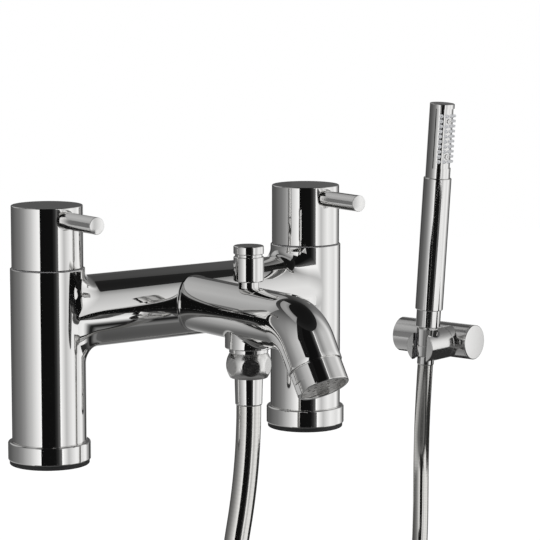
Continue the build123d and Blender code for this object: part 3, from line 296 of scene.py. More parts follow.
STEEL = Finish("plain_steel", "steel", (0.55, 0.55, 0.56), 1.0, 0.32, 0.1, 0.03, 90.0, 0.00003)
LINER = Finish("moulded_liner", "liner_plastic", (0.22, 0.22, 0.23), 0.0, 0.4, 0.08, 0.02, 90.0, 0.00003)
DARK_PLASTIC = Finish("moulded_dark", "dark_plastic", (0.3, 0.295, 0.285), 0.0, 0.3, 0.08, 0.02, 90.0, 0.00003)
SLEEVE = Finish("plated_sleeve", "sleeve_plastic", (0.87, 0.865, 0.855), 1.0, 0.07, 0.03, 0.01, 60.0)
NOZZLE = Finish("soft_nozzle", "nozzle_rubber", (0.84, 0.85, 0.87), 0.0, 0.25, 0.05, 0.02, 200.0, coat=0.4,
                subsurface=0.2)
HOSE = SpiralHose("wound_silver", "silver_hose", (0.8, 0.79, 0.765), 1.0, 0.1, 0.05, 0.02, 60.0, 0.0000015)
FINISH_BY_SLOT = {finish.slot: finish for finish in (
    TURNED_CHROME, BRASS, CERAMIC, RUBBER, GREY_PLASTIC, STEEL, HOSE, LINER, DARK_PLASTIC, SLEEVE, NOZZLE)}


# Surfaces


@dataclass(frozen=True)
class Place:
    """Where a shape stands: its origin in millimetres and its three unit axes as rows."""

    origin: Corner = (0.0, 0.0, 0.0)
    axes: tuple[tuple[float, ...], ...] = ((1.0, 0.0, 0.0), (0.0, 1.0, 0.0), (0.0, 0.0, 1.0))

    def put(self, points: Array) -> Array:
        """Moves points from the shape's own frame to the model's: origin plus each coordinate times its axis."""
        return points @ np.array(self.axes) + np.array(self.origin)

    def turned(self, first: int, second: int, angle: float) -> "Place":
        """The same place with one axis turned towards another.

        Args:
            first: Number of the axis that turns towards the second.
            second: Number of the other axis, which turns with it.
            angle: The turn in degrees.

        Returns:
            The turned place.
        """
        rows = np.array(self.axes)
        c, s = cos(radians(angle)), sin(radians(angle))
        rows[first], rows[second] = c * rows[first] + s * rows[second], c * rows[second] - s * rows[first]
        return Place(self.origin, tuple(tuple(row) for row in rows))


def angles(count: int = SEGMENTS) -> Array:
    """Angles round a full turn, without the last one."""
    return np.arange(count) * (2 * pi / count)


def directions(vectors: Array) -> Array:
    """Vectors scaled to length one."""
    return vectors / np.linalg.norm(vectors, axis=-1, keepdims=True)


def stacked(*parts: Any) -> Array:
    """Points of which each part is a coordinate, spread over the shape of the others."""
    return np.stack(np.broadcast_arrays(*parts), axis=-1)


def polar(radius: Array, t: Array, height: Any) -> Array:
    """Points (r sin t, r cos t, z), with t along the columns."""
    return stacked(radius * np.sin(t), radius * np.cos(t), height)


def rounded(corners: Sequence[Corner], closed: bool = False, steps: int = 6) -> Array:
    """An outline whose corners are rounded.

    At each corner of radius r and turn a, the arc starts r tan(a/2) before the corner and runs through
    start + r (sin t along the way in + (1 - cos t) towards the way out) for t from 0 to a. A point stands
    a little before and after each arc, so that flat faces stay flat when shaded.

    Args:
        corners: Radius from the axis, height and rounding of each corner.
        closed: Whether the last corner joins the first.
        steps: Points in each arc.

    Returns:
        Points of (radius, height), one row each.
    """
    spots = np.array([corner[:2] for corner in corners], float)
    rows = []
    for index, (_, _, radius) in enumerate(corners):
        here = spots[index]
        if radius == 0.0 or (not closed and index in (0, len(corners) - 1)):
            rows.append(here[None])
            continue
        ways = here - spots[index - 1], spots[(index + 1) % len(corners)] - here
        reach = 0.45 * min(np.hypot(*way) for way in ways)
        way_in, way_out = (way / np.hypot(*way) for way in ways)
        turn = np.arccos(np.clip(way_in @ way_out, -1.0, 1.0))
        length = min(radius * np.tan(turn / 2), reach)
        bend = length / np.tan(turn / 2)
        side = way_out - (way_out @ way_in) * way_in
        side = side / np.hypot(*side)
        t = np.linspace(0.0, turn, steps)[:, None]
        start = here - way_in * length
        arc = start + bend * (np.sin(t) * way_in + (1 - np.cos(t)) * side)
        margin = min(0.12 * radius + 0.03, 0.05 + reach - length)
        rows.append(np.vstack([start - way_in * margin, arc, arc[-1] + way_out * margin]))
    return np.vstack(rows)


def plug(radius: float, low: float, high: float, foot: float = 0.0, top: float = 0.0) -> list[Corner]:
    """Corners of a solid cylinder from the middle of its foot to that of its top, with both edges' roundings."""
    return [(0.0, low, 0.0), (radius, low, foot), (radius, high, top), (0.0, high, 0.0)]


def tube(inner: float, outer: float, low: float, high: float, *edges: float) -> list[Corner]:
    """Corners of a tube's section: inner foot, outer foot, outer top, inner top, each with its rounding."""
    return list(zip((inner, outer, outer, inner), (low, low, high, high), edges))


def crowned(radius: float, height: float, crown: float) -> list[Corner]:
    """Corners of a slightly domed end face, from 0.9 of its radius to its middle.

    At share s of the radius the face lies crown s^2 below its height.

    Args:
        radius: The face's radius.
        height: Height of its middle.
        crown: How far its rim lies below its middle.

    Returns:
        Corners of radius, height and rounding, in millimetres.
    """
    return [(radius * share, height - crown * share ** 2, 0.0) for share in np.linspace(0.9, 0.0, 10)]


def arc_rows(centre: Array, start: Array, end: Array, radius: float | Array, steps: int = 14) -> Array:
    """Rows of points on a ball from one contact line to another.

    With w the angle between the unit directions start and end, a row at share s lies at
    centre + radius (sin((1 - s) w) start + sin(s w) end) / sin w.

    Args:
        centre: Ball centres, one for each column.
        start: Unit directions from the centres to the first contact.
        end: Unit directions from the centres to the second contact.
        radius: The ball's radius, or a column of one for each centre.
        steps: Number of rows.

    Returns:
        An array of rows, columns and coordinates.
    """
    between = np.arccos(np.clip(np.sum(start * end, axis=-1, keepdims=True), -1.0, 1.0))
    share = np.linspace(0.0, 1.0, steps)[:, None, None]
    blend = np.sin((1 - share) * between) * start + np.sin(share * between) * end
    return centre + radius * blend / np.sin(between)


# Meshes


def link(name: str, data: Any) -> Object:
    """Makes an object of some data and puts it into the scene."""
    made = bpy.data.objects.new(name, data)
    bpy.context.scene.collection.objects.link(made)
    return made


def read(items: Any, attribute: str, width: int = 1) -> Array:
    """Values of an attribute of a mesh's items: whole numbers, or rows of as many as its width."""
    values = np.zeros(len(items) * width, int if width == 1 else float)
    items.foreach_get(attribute, values)
    return values if width == 1 else values.reshape(-1, width)


def evaluated(target: Object) -> Mesh:
    """A mesh of an object with its modifiers or its curve worked out."""
    bpy.context.view_layer.update()
    return bpy.data.meshes.new_from_object(target.evaluated_get(bpy.context.evaluated_depsgraph_get()))


def shade(data: Mesh, sharp: float) -> None:
    """Shades a mesh smooth except at edges past an angle in degrees."""
    data.shade_smooth()
    data.set_sharp_from_angle(angle=radians(sharp))


def close_up(data: Mesh, sharp: float) -> None:
    """Welds a mesh's points, turns its faces outwards and shades it smooth up to an angle."""
    work = bmesh.new()
    work.from_mesh(data)
    bmesh.ops.remove_doubles(work, verts=work.verts, dist=WELD)
    bmesh.ops.dissolve_degenerate(work, edges=work.edges, dist=WELD / 10)
    bmesh.ops.recalc_face_normals(work, faces=work.faces)
    work.to_mesh(data)
    work.free()
    shade(data, sharp)


class Shell:
    """Collects grids of points and makes one mesh of them."""

    def __init__(self, name: str, place: Place = Place()) -> None:
        """Starts an empty shell for a named piece, whose grids stand at a place."""
        self.name = name
        self.place = place
        self.points: list[Array] = []
        self.faces: list[Array] = []
        self.count = 0

    def grid(self, points: Array, closed_rows: bool = False, place: Place | None = None) -> "Shell":
        """Adds a grid whose columns close on themselves.

        Args:
            points: Rows, columns and coordinates in millimetres, in the place's frame.
            closed_rows: Whether the last row joins the first.
            place: Another place than the shell's own.

        Returns:
            The shell.
        """
        rows, columns = points.shape[:2]
        here = np.arange(rows * columns).reshape(rows, columns) + self.count
        above = np.roll(here, -1, axis=0)
        if not closed_rows:
            here, above = here[:-1], above[:-1]
        corners = [here, np.roll(here, -1, axis=1), np.roll(above, -1, axis=1), above]
        self.faces.append(np.stack(corners, axis=-1).reshape(-1, 4))
        self.points.append((place or self.place).put(points.reshape(-1, 3)))
        self.count += rows * columns
        return self

    def turned(self, corners: Sequence[Corner], closed: bool = False, count: int = SEGMENTS,
               place: Place | None = None) -> "Shell":
        """Adds a turned form with rounded corners."""
        outline = rounded(corners, closed)
        return self.grid(polar(outline[:, :1], angles(count), outline[:, 1:]), closed, place)

    def mesh(self, sharp: float = SHARP_ANGLE) -> Object:
        """Makes the object, with poles closed, faces outwards and smooth shading up to an angle."""
        data = bpy.data.meshes.new(self.name)
        data.from_pydata((np.vstack(self.points) * MILLIMETRE).tolist(), [], np.vstack(self.faces).tolist())
        close_up(data, sharp)
        return link(self.name, data)


def block(name: str, place: Place, low: Corner, high: Corner) -> Object:
    """A closed block between two opposite corners, for cutting."""
    (left, front, foot), (right, back, top) = low, high
    square = np.array([[left, front], [right, front], [right, back], [left, back]])
    rings = np.stack([np.insert(square, 2, height, axis=1) for height in (foot, foot, top, top)])
    rings[[0, 3]] = rings[[0, 3]].mean(axis=1, keepdims=True)
    return Shell(name, place).grid(rings).mesh()


def carve(target: Object, place: Place, *tools: Object) -> Object:
    """Cuts closed tools out of a turned piece and gives its faces their true normals.

    A face's normal has a part away from the axis and a part along it. At each corner the first part is
    turned to point away from the axis there. Faces with a sideways part, the tools' own, keep their normals.

    Args:
        target: The object that is cut, at the origin.
        place: Its place; the Z axis is the one that it was turned about.
        tools: The tools, which are deleted.

    Returns:
        The target.
    """
    for tool in tools:
        cut = target.modifiers.new("cut", "BOOLEAN")
        cut.operation, cut.solver, cut.object = "DIFFERENCE", "EXACT", tool
    data = evaluated(target)
    target.modifiers.clear()
    target.data = data
    for tool in tools:
        bpy.data.objects.remove(tool)
    shade(data, SHARP_ANGLE)
    origin, axis = np.array(place.origin) * MILLIMETRE, np.array(place.axes[2])

    def away(points: Array) -> Array:
        """Unit directions away from the axis."""
        offset = points - origin
        flat = offset - (offset @ axis)[:, None] * axis
        return flat / np.maximum(np.linalg.norm(flat, axis=1, keepdims=True), 1e-9)

    normal, outward = read(data.polygons, "normal", 3), away(read(data.polygons, "center", 3))
    out_part, axis_part = np.sum(normal * outward, axis=1), normal @ axis
    side_part = np.linalg.norm(normal - out_part[:, None] * outward - axis_part[:, None] * axis, axis=1)
    face_of = np.repeat(np.arange(len(data.polygons)), read(data.polygons, "loop_total"))
    spot = away(read(data.vertices, "co", 3)[read(data.loops, "vertex_index")])
    true = out_part[face_of, None] * spot + axis_part[face_of, None] * axis
    kept = (side_part > 0.06)[face_of, None]
    shaded = np.where(kept, read(data.corner_normals, "vector", 3), true)
    data.normals_split_custom_set(directions(shaded).tolist())
    return target


@dataclass
class Assembly:
    """A sub-assembly that makes pieces and fits them to the model."""

    made: list[Object] = field(default_factory=list)

    def fit(self, piece: Object, finish: Finish, body: Body, *nodes: str) -> Object:
        """Dresses a piece, puts it in the place of nodes and lets it ride on a body.

        Args:
            piece: The new object.
            finish: What it is made of.
            body: The body it moves with.
            nodes: The solids it stands for.

        Returns:
            The piece.
        """
        piece.data.materials.clear()
        piece.data.materials.append(finish.material())
        if nodes:
            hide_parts(*nodes)
        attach(piece, body.value)
        self.made.append(piece)
        LOG.info("%s: %d faces", piece.name, len(piece.data.polygons))
        return piece

    def turn(self, name: str, place: Place, corners: Sequence[Corner], finish: Finish, body: Body, *nodes: str,
             closed: bool = True, count: int = SEGMENTS) -> Object:
        """Makes one turned form with rounded corners and fits it; what it takes is as in Shell.turned and fit."""
        return self.fit(Shell(name, place).turned(corners, closed, count).mesh(), finish, body, *nodes)


@dataclass
class TwinAssembly(Assembly):
    """A sub-assembly that stands on both legs; its side is -1 for the left and 1 for the right."""

    side: int = 1
    leg_x: float = 90.0

    @property
    def name(self) -> str:
        """The side's name."""
        return "left" if self.side < 0 else "right"

    def place(self, height: float = 0.0, axes: tuple[Corner, ...] = Place().axes) -> Place:
        """A place on the leg's axis."""
        return Place((self.side * self.leg_x, 0.0, height), axes)


# Mixer


FRONT_AXES = ((1.0, 0.0, 0.0), (0.0, 0.0, 1.0), (0.0, -1.0, 0.0))
BACK_AXES = ((1.0, 0.0, 0.0), (0.0, 0.0, -1.0), (0.0, 1.0, 0.0))
OUTLET_REACH = 66.3


@dataclass
class Casting(Assembly):
    """Legs, crossbar, spout and hose outlet, with rolling-ball fillets where they meet."""

    leg_x: float = TwinAssembly.leg_x
    leg_radius: float = 20.85
    leg_foot: float = 2.5
    leg_top: float = 110.5
    bar_radius: float = 20.4
    bar_height: float = 84.0
    bar_fillet: float = 10.0
    top_fillet: float = 5.0
    front_fillet: float = 30.0
    spout_radius: float = 15.65
    spout_height: float = 84.4
    spout_fillet: float = 1.6
    straight_reach: float = 101.9
    bend_radius: float = 22.0
    bend_angle: float = 57.0
    tail_length: float = 13.2
    end_radius: float = 15.2
    spigot_radius: float = 13.15
    spigot_depth: float = 6.0
    boss_radius: float = 13.35
    boss_foot: float = 65.5
    boss_fillet: float = 3.0
    socket_radius: float = 13.22
    socket_depth: float = 22.0
    thread_pitch: float = 1.81
    thread_depth: float = 0.9
    waterway_radius: float = 7.5
    waterway_height: float = 20.0
    root_depth: float = 4.0

    def build(self) -> None:
        """Builds the casting as one piece."""
        shell = Shell("casting")
        for side in (-1, 1):
            leg = Place((side * self.leg_x, 0.0, 0.0))
            shell.turned(self.leg_outline(), True, FINE_SEGMENTS, leg)
            shell.grid(self.socket_thread(), False, leg)
        for skin in (self.bar_skin(), self.spout_skin(), self.boss_skin()):
            shell.grid(skin)
        self.fit(shell.mesh(), CHROME, Body.FIXED, "mixer_body")

    def leg_outline(self) -> list[Corner]:
        """Outline of a leg: outside, inlet socket below and a plain top."""
        floor = self.leg_foot + self.socket_depth
        return [(self.waterway_radius, floor + self.waterway_height, 0.0), (self.waterway_radius, floor, 0.3),
                (self.socket_radius, floor, 0.0), (self.socket_radius, self.leg_foot, 0.4),
                (self.leg_radius, self.leg_foot, 0.4), (self.leg_radius, self.leg_top, 0.35),
                (self.waterway_radius, self.leg_top, 0.0)]

    def socket_thread(self) -> Array:
        """Inlet thread: r = socket radius - depth |2 frac(z / pitch - t / 2 pi) - 1|, closed behind."""
        t = angles()
        low, high = self.leg_foot + 1.2, self.leg_foot + self.socket_depth - 0.6
        height = np.linspace(low, high, 140)[:, None] + 0 * t
        phase = np.mod(height / self.thread_pitch - t / (2 * pi), 1.0)
        radius = self.socket_radius + 0.15 - self.thread_depth * np.abs(2 * phase - 1)
        behind = 0 * t + self.socket_radius + 0.4
        return polar(np.vstack([behind, radius, behind]), t, np.vstack([height[:1], height, height[-1:]]))

    def bar_skin(self) -> Array:
        """Crossbar with the fillets to both legs.

        The ball's centre at angle t stands (R + f) from the bar's axis and (L + f) from the leg's, so its
        x is leg x - sqrt((L + f)^2 - ((R + f) sin t)^2). The ball grows from the bar's top to its underside,
        and much more at its front and back. The fillets are cut off level with the leg's top.
        """
        t = angles(FINE_SEGMENTS)
        ball = self.top_fillet + (self.bar_fillet - self.top_fillet) * (1 - np.cos(t)) / 2
        ball = ball + self.front_fillet * np.sin(t) ** 4
        y = (self.bar_radius + ball) * np.sin(t)
        z = self.bar_height + (self.bar_radius + ball) * np.cos(t)
        x = self.leg_x - np.sqrt((self.leg_radius + ball) ** 2 - y ** 2)
        to_bar = stacked(0.0, -np.sin(t), -np.cos(t))
        halves = []
        for side in (-1, 1):
            centre = stacked(side * x, y, z)
            to_leg = directions(stacked(side * (self.leg_x - x), -y, 0.0))
            root = [side * (self.leg_x - self.root_depth), 0.0, self.bar_height]
            inside = np.broadcast_to(root, centre.shape)
            half = np.concatenate([inside[None], arc_rows(centre, to_leg, to_bar, ball[:, None])])
            half[..., 2] = np.minimum(half[..., 2], self.leg_top - 0.02)
            halves.append(half)
        left, right = halves[0], halves[1][::-1]
        share = np.array([0.004, 0.2, 0.4, 0.5, 0.6, 0.8, 0.996])[:, None, None]
        return np.concatenate([left, left[-1] * (1 - share) + right[0] * share, right])

    def spout_skin(self) -> Array:
        """Spout from its fillet on the crossbar to its mouth.

        The ball's centre at angle t stands (S + f) from the spout's axis, and its distance from the bar's
        axis gives y = -sqrt((R + f)^2 - (z - bar height)^2). Past the straight run, ring after ring is
        turned about the bend's centre and then moved along the tail, while its radius shrinks evenly.
        """
        t, ball = angles(FINE_SEGMENTS), self.spout_fillet
        x = (self.spout_radius + ball) * np.sin(t)
        z = self.spout_height + (self.spout_radius + ball) * np.cos(t)
        y = -np.sqrt((self.bar_radius + ball) ** 2 - (z - self.bar_height) ** 2)
        to_bar = directions(stacked(0.0, -y, self.bar_height - z))
        to_spout = stacked(-np.sin(t), 0.0, -np.cos(t))
        inside = np.broadcast_to([0.0, -self.root_depth, self.bar_height], to_bar.shape)[None]
        root = arc_rows(stacked(x, y, z), to_bar, to_spout, ball, 20)
        share = np.array([0.01, 0.3, 0.6, 0.9])[:, None, None]
        straight = root[-1] * (1 - share) + self.station(0.0, self.spout_radius, t) * share
        arc, tail = self.bend_radius * radians(self.bend_angle), self.tail_length
        run = np.concatenate([np.linspace(0.0, arc, 26), arc + np.linspace(0.1, 1.0, 6) * (tail - 0.3)])
        turn = np.degrees(np.minimum(run, arc) / self.bend_radius)
        radius = self.spout_radius + (self.end_radius - self.spout_radius) * run / (arc + tail)
        ahead = np.maximum(run - arc, 0.0)
        bend = [self.station(a, r, t, d) for a, r, d in zip(turn, radius, ahead)]
        floor = tail - self.spigot_depth
        rim = [(self.end_radius - 0.06, tail - 0.09), (self.end_radius - 0.3, tail), (self.spigot_radius, tail),
               (self.spigot_radius, floor), (0.0, floor)]
        mouth = [self.station(self.bend_angle, r, t, d) for r, d in rim]
        return np.concatenate([inside, root, straight, np.stack(bend + mouth)])

    def station(self, angle: float, radius: float, t: Array, ahead: float = 0.0) -> Array:
        """Ring of the spout at an angle of its bend, moved ahead along the spout's line."""
        middle, up = self.bend_point(angle, ahead), np.array([0.0, -sin(radians(angle)), cos(radians(angle))])
        return middle + radius * (np.sin(t)[:, None] * np.array([1.0, 0.0, 0.0]) + np.cos(t)[:, None] * up)

    def bend_point(self, angle: float, ahead: float) -> Array:
        """Point of the spout's centreline at an angle of its bend, moved ahead along the line."""
        s, c = sin(radians(angle)), cos(radians(angle))
        return np.array([0.0, -self.straight_reach - self.bend_radius * s - ahead * c,
                         self.spout_height - self.bend_radius * (1 - c) - ahead * s])

    def mouth(self) -> Place:
        """The place of the spout's mouth, with Z pointing out of it."""
        turn = radians(self.bend_angle)
        x, z = np.array([1.0, 0.0, 0.0]), np.array([0.0, -cos(turn), -sin(turn)])
        origin = self.bend_point(self.bend_angle, self.tail_length)
        return Place(tuple(origin), (tuple(x), tuple(np.cross(z, x)), tuple(z)))

    def boss_skin(self) -> Array:
        """Hose outlet under the spout with its small fillet, found as the other fillets are."""
        t, ball = angles(), self.boss_fillet
        x = (self.boss_radius + ball) * np.sin(t)
        y = (self.boss_radius + ball) * np.cos(t)
        z = self.spout_height - np.sqrt((self.spout_radius + ball) ** 2 - x ** 2)
        to_spout = directions(stacked(-x, 0.0, self.spout_height - z))
        to_boss = stacked(-np.sin(t), -np.cos(t), 0.0)
        inside = np.broadcast_to([0.0, -OUTLET_REACH, self.spout_height], to_boss.shape)[None]
        root = arc_rows(stacked(x, y - OUTLET_REACH, z), to_spout, to_boss, ball, 10)
        foot = rounded([(self.boss_radius, self.boss_foot + 2.0, 0.0), (self.boss_radius, self.boss_foot, 0.6),
                        (0.0, self.boss_foot, 0.0)])
        lower = polar(foot[:, :1], t, foot[:, 1:]) - np.array([0.0, OUTLET_REACH, 0.0])
        return np.concatenate([inside, root, lower])


@dataclass
class LegFoot(TwinAssembly):
    """Polished ring and black gasket at the foot of a leg."""

    inner: float = 20.9
    outer: float = 23.2
    low: float = 2.5
    high: float = 13.0
    gasket_outer: float = 22.4
    gasket_inner: float = 13.22

    def build(self) -> None:
        """Builds the ring and the gasket."""
        ring = tube(self.inner, self.outer, self.low, self.high, 0.2, 0.7, 1.4, 0.3)
        gasket = tube(self.gasket_inner, self.gasket_outer, 0.0, self.low, 0.3, 0.5, 0.2, 0.3)
        for part, corners, finish, node in (("foot_ring", ring, TURNED_CHROME, "base_flange"),
                                            ("foot_gasket", gasket, RUBBER, "deck_gasket")):
            self.turn(f"{self.name}_{part}", self.place(), corners, finish, Body.FIXED, f"{self.name}_{node}")


@dataclass
class Handle(TwinAssembly):
    """Round handle with a recess for its lever pin."""

    radius: float = 20.0
    foot: float = 111.2
    top: float = 145.7
    pocket_radius: float = 15.8
    pocket_height: float = 7.6
    lever_height: float = 138.9
    lever_radius: float = 4.75
    lever_root: float = 6.5
    lever_reach: float = 51.6
    lever_crown: float = 0.5
    recess_radius: float = 5.7
    recess_depth: float = 2.6
    screw_height: float = 124.0
    screw_radius: float = 2.55
    screw_floor: float = 12.4

    def build(self) -> None:
        """Builds the cap and the lever."""
        body = Body.LEFT_HANDLE if self.side < 0 else Body.RIGHT_HANDLE
        pocket = self.foot + self.pocket_height
        cap = Shell(f"{self.name}_cap", self.place()).turned([
            (0.0, self.top, 0.0), (self.radius, self.top, 0.55), (self.radius, self.foot, 0.12),
            (self.pocket_radius, self.foot, 0.2), (self.pocket_radius, pocket, 0.3), (0.0, pocket, 0.0)],
            count=160).mesh()
        floor, outside = self.radius - self.recess_depth, self.radius + CUTTER_MARGIN
        front = self.place(self.lever_height, FRONT_AXES)
        recess = Shell("recess", front).turned(plug(self.recess_radius, floor, outside, 0.2), count=64).mesh()
        back = self.place(self.screw_height, BACK_AXES)
        hole = Shell("hole", back).turned(plug(self.screw_radius, self.screw_floor, outside), count=40).mesh()
        self.fit(carve(cap, self.place(), recess, hole), TURNED_CHROME, body, f"{self.name}_handle_cap")
        shoulder = self.lever_reach - self.lever_crown
        lever = [*plug(self.lever_radius, self.lever_root, shoulder, 0.2, 0.5)[:3],
                 *crowned(self.lever_radius, self.lever_reach, self.lever_crown)]
        self.turn(f"{self.name}_lever", front, lever, SATIN_CHROME, body, f"{self.name}_handle_lever", closed=False,
                  count=72)


@dataclass
class Diverter(Assembly):
    """Pull-up knob on its bush."""

    radius: float = 8.5
    foot: float = 103.05
    top: float = 123.05
    cap_height: float = 4.6
    groove_radius: float = 7.7
    groove_width: float = 1.6
    bush_radius: float = 5.75
    bush_foot: float = 99.45
    bush_top: float = 102.95
    bore_radius: float = 2.55

    def build(self) -> None:
        """Builds the knob and the bush."""
        place = Place((0.0, -OUTLET_REACH, 0.0))
        cap_foot = self.top - self.cap_height
        groove_foot = cap_foot - self.groove_width
        knob = [(0.0, self.foot, 0.0), (self.radius, self.foot, 0.7), (self.radius, groove_foot, 0.5),
                (self.groove_radius, groove_foot, 0.2), (self.groove_radius, cap_foot, 0.2),
                (self.radius, cap_foot, 0.6), (self.radius, self.top, 0.7), (0.0, self.top, 0.0)]
        self.turn("pull_knob", place, knob, TURNED_CHROME, Body.DIVERTER, "diverter_knob", closed=False)
        bush = tube(self.bore_radius, self.bush_radius, self.bush_foot, self.bush_top, 0.0, 0.0, 0.2, 0.1)
        self.turn("rod_bush", place, bush, TURNED_CHROME, Body.FIXED, count=72)


@dataclass
class SpoutEnd(Assembly):
    """Ring at the spout's mouth."""

    radius: float = 14.6
    length: float = 13.2
    bore: float = 12.5
    lip: float = 9.7
    lip_height: float = 2.6
    spigot: float = 13.1
    spigot_length: float = 6.0
    groove: float = 0.7
    flat_depth: float = 0.9
    flat_height: float = 6.0
    flat_reach: float = 9.0
    flat_room: float = 6.0

    def build(self, place: Place) -> None:
        """Builds the ring with its spanner flat at the spout's mouth."""
        neck = self.radius - self.groove
        ring = Shell("mouth_ring", place).turned([
            (self.lip, -self.spigot_length, 0.2), (self.spigot, -self.spigot_length, 0.2), (self.spigot, 0.0, 0.0),
            (neck, 0.0, 0.0), (neck, self.groove, 0.0),
            (self.radius, self.groove, 0.25), (self.radius, self.length, 0.6), (self.bore, self.length, 0.35),
            (self.bore, self.lip_height, 0.2), (self.lip, self.lip_height, 0.2)], True, FINE_SEGMENTS).mesh()
        edge = self.flat_depth - self.radius
        flat = block("flat", place, (edge - self.flat_room, -self.flat_reach, self.length - self.flat_height),
                     (edge, self.flat_reach, self.length + CUTTER_MARGIN))
        self.fit(carve(ring, place, flat), TURNED_CHROME, Body.FIXED, "aerator_ring")


@dataclass
class HoseUnion(Assembly):
    """Collar, union nut and ferrule between the spout's boss and the hose."""

    collar_radius: float = 11.0
    collar_low: float = 63.0
    collar_high: float = 65.5
    collar_bore: float = 6.2
    thread_radius: float = 10.3
    thread_length: float = 7.0
    nut_low: float = 48.9
    nut_high: float = 62.9
    nut_flat: float = 11.75
    nut_dome: float = 12.7
    nut_floor: float = 4.0
    ferrule_top: float = 8.0
    ferrule_end: float = 7.6
    ferrule_foot: float = 33.2
    bore: float = 4.8
    ferrule_gap: float = 0.4

    def build(self) -> None:
        """Builds the collar, the nut and the ferrule."""
        place = Place((0.0, -OUTLET_REACH, 0.0))
        thread_foot, floor = self.collar_low - self.thread_length, self.nut_low + self.nut_floor
        collar = [(self.collar_bore, thread_foot, 0.0), (self.thread_radius, thread_foot, 0.3),
                  (self.thread_radius, self.collar_low, 0.1), (self.collar_radius, self.collar_low, 0.3),
                  (self.collar_radius, self.collar_high, 0.2), (self.collar_bore, self.collar_high, 0.0)]
        self.turn("outlet_collar", place, collar, TURNED_CHROME, Body.FIXED, "outlet_nipple")
        self.fit(self.nut(place, floor).mesh(24.0), MATT_CHROME, Body.FIXED, "hose_nut")
        ferrule = [(self.bore, self.ferrule_foot, 0.2), (self.ferrule_end, self.ferrule_foot, 0.8),
                   (self.ferrule_top, self.nut_low - self.ferrule_gap, 0.0), (self.ferrule_top, floor, 0.0),
                   (self.bore, floor, 0.0)]
        self.turn("upper_ferrule", place, ferrule, TURNED_CHROME, Body.FIXED, "hose_ferrule")

    def nut(self, place: Place, floor: float) -> Shell:
        """Union nut.

        At angle t and height z the radius is the smaller of flat / cos(t'), with t' the angle from the
        nearest flat's middle, and sqrt(dome^2 - (z - middle)^2), so a ball is cut by six flats.

        Args:
            place: Where the nut stands.
            floor: Height of the floor in its thread.

        Returns:
            The nut's shell.
        """
        t = angles(FINE_SEGMENTS)
        middle = (self.nut_low + self.nut_high) / 2
        height = np.linspace(self.nut_low, self.nut_high, 48)[:, None]
        from_flat = np.mod(t + pi / 6, pi / 3) - pi / 6
        ball = np.sqrt(self.nut_dome ** 2 - (height - middle) ** 2)
        radius = np.minimum(self.nut_flat / np.cos(from_flat), ball)
        thread, tail = self.thread_radius + 0.05, self.ferrule_top + 0.05
        inside = np.array([(thread, self.nut_high), (thread, floor), (tail, floor), (tail, self.nut_low)])
        radius = np.vstack([radius, inside[:, :1] + 0 * t])
        height = np.vstack([height, inside[:, 1:]])
        skin = stacked(radius * np.cos(t), radius * np.sin(t), height)
        return Shell("union_nut", place).grid(skin, True)


# Holder and handset


HOLDER = Place((639.4, 543.6, -80.8)).turned(0, 1, 15.0)
"""The holder's frame: X away from the jaw's nose, Z up, origin where handset and jaw cross."""

LEANING = HOLDER.turned(1, 2, 3.9)
"""The frame of the jaw's bore, which leans back from the holder's."""

UPRIGHT = LEANING.turned(0, 1, -13.0)
"""The handset's frame: Z up along its axis, -Y towards the spray side."""


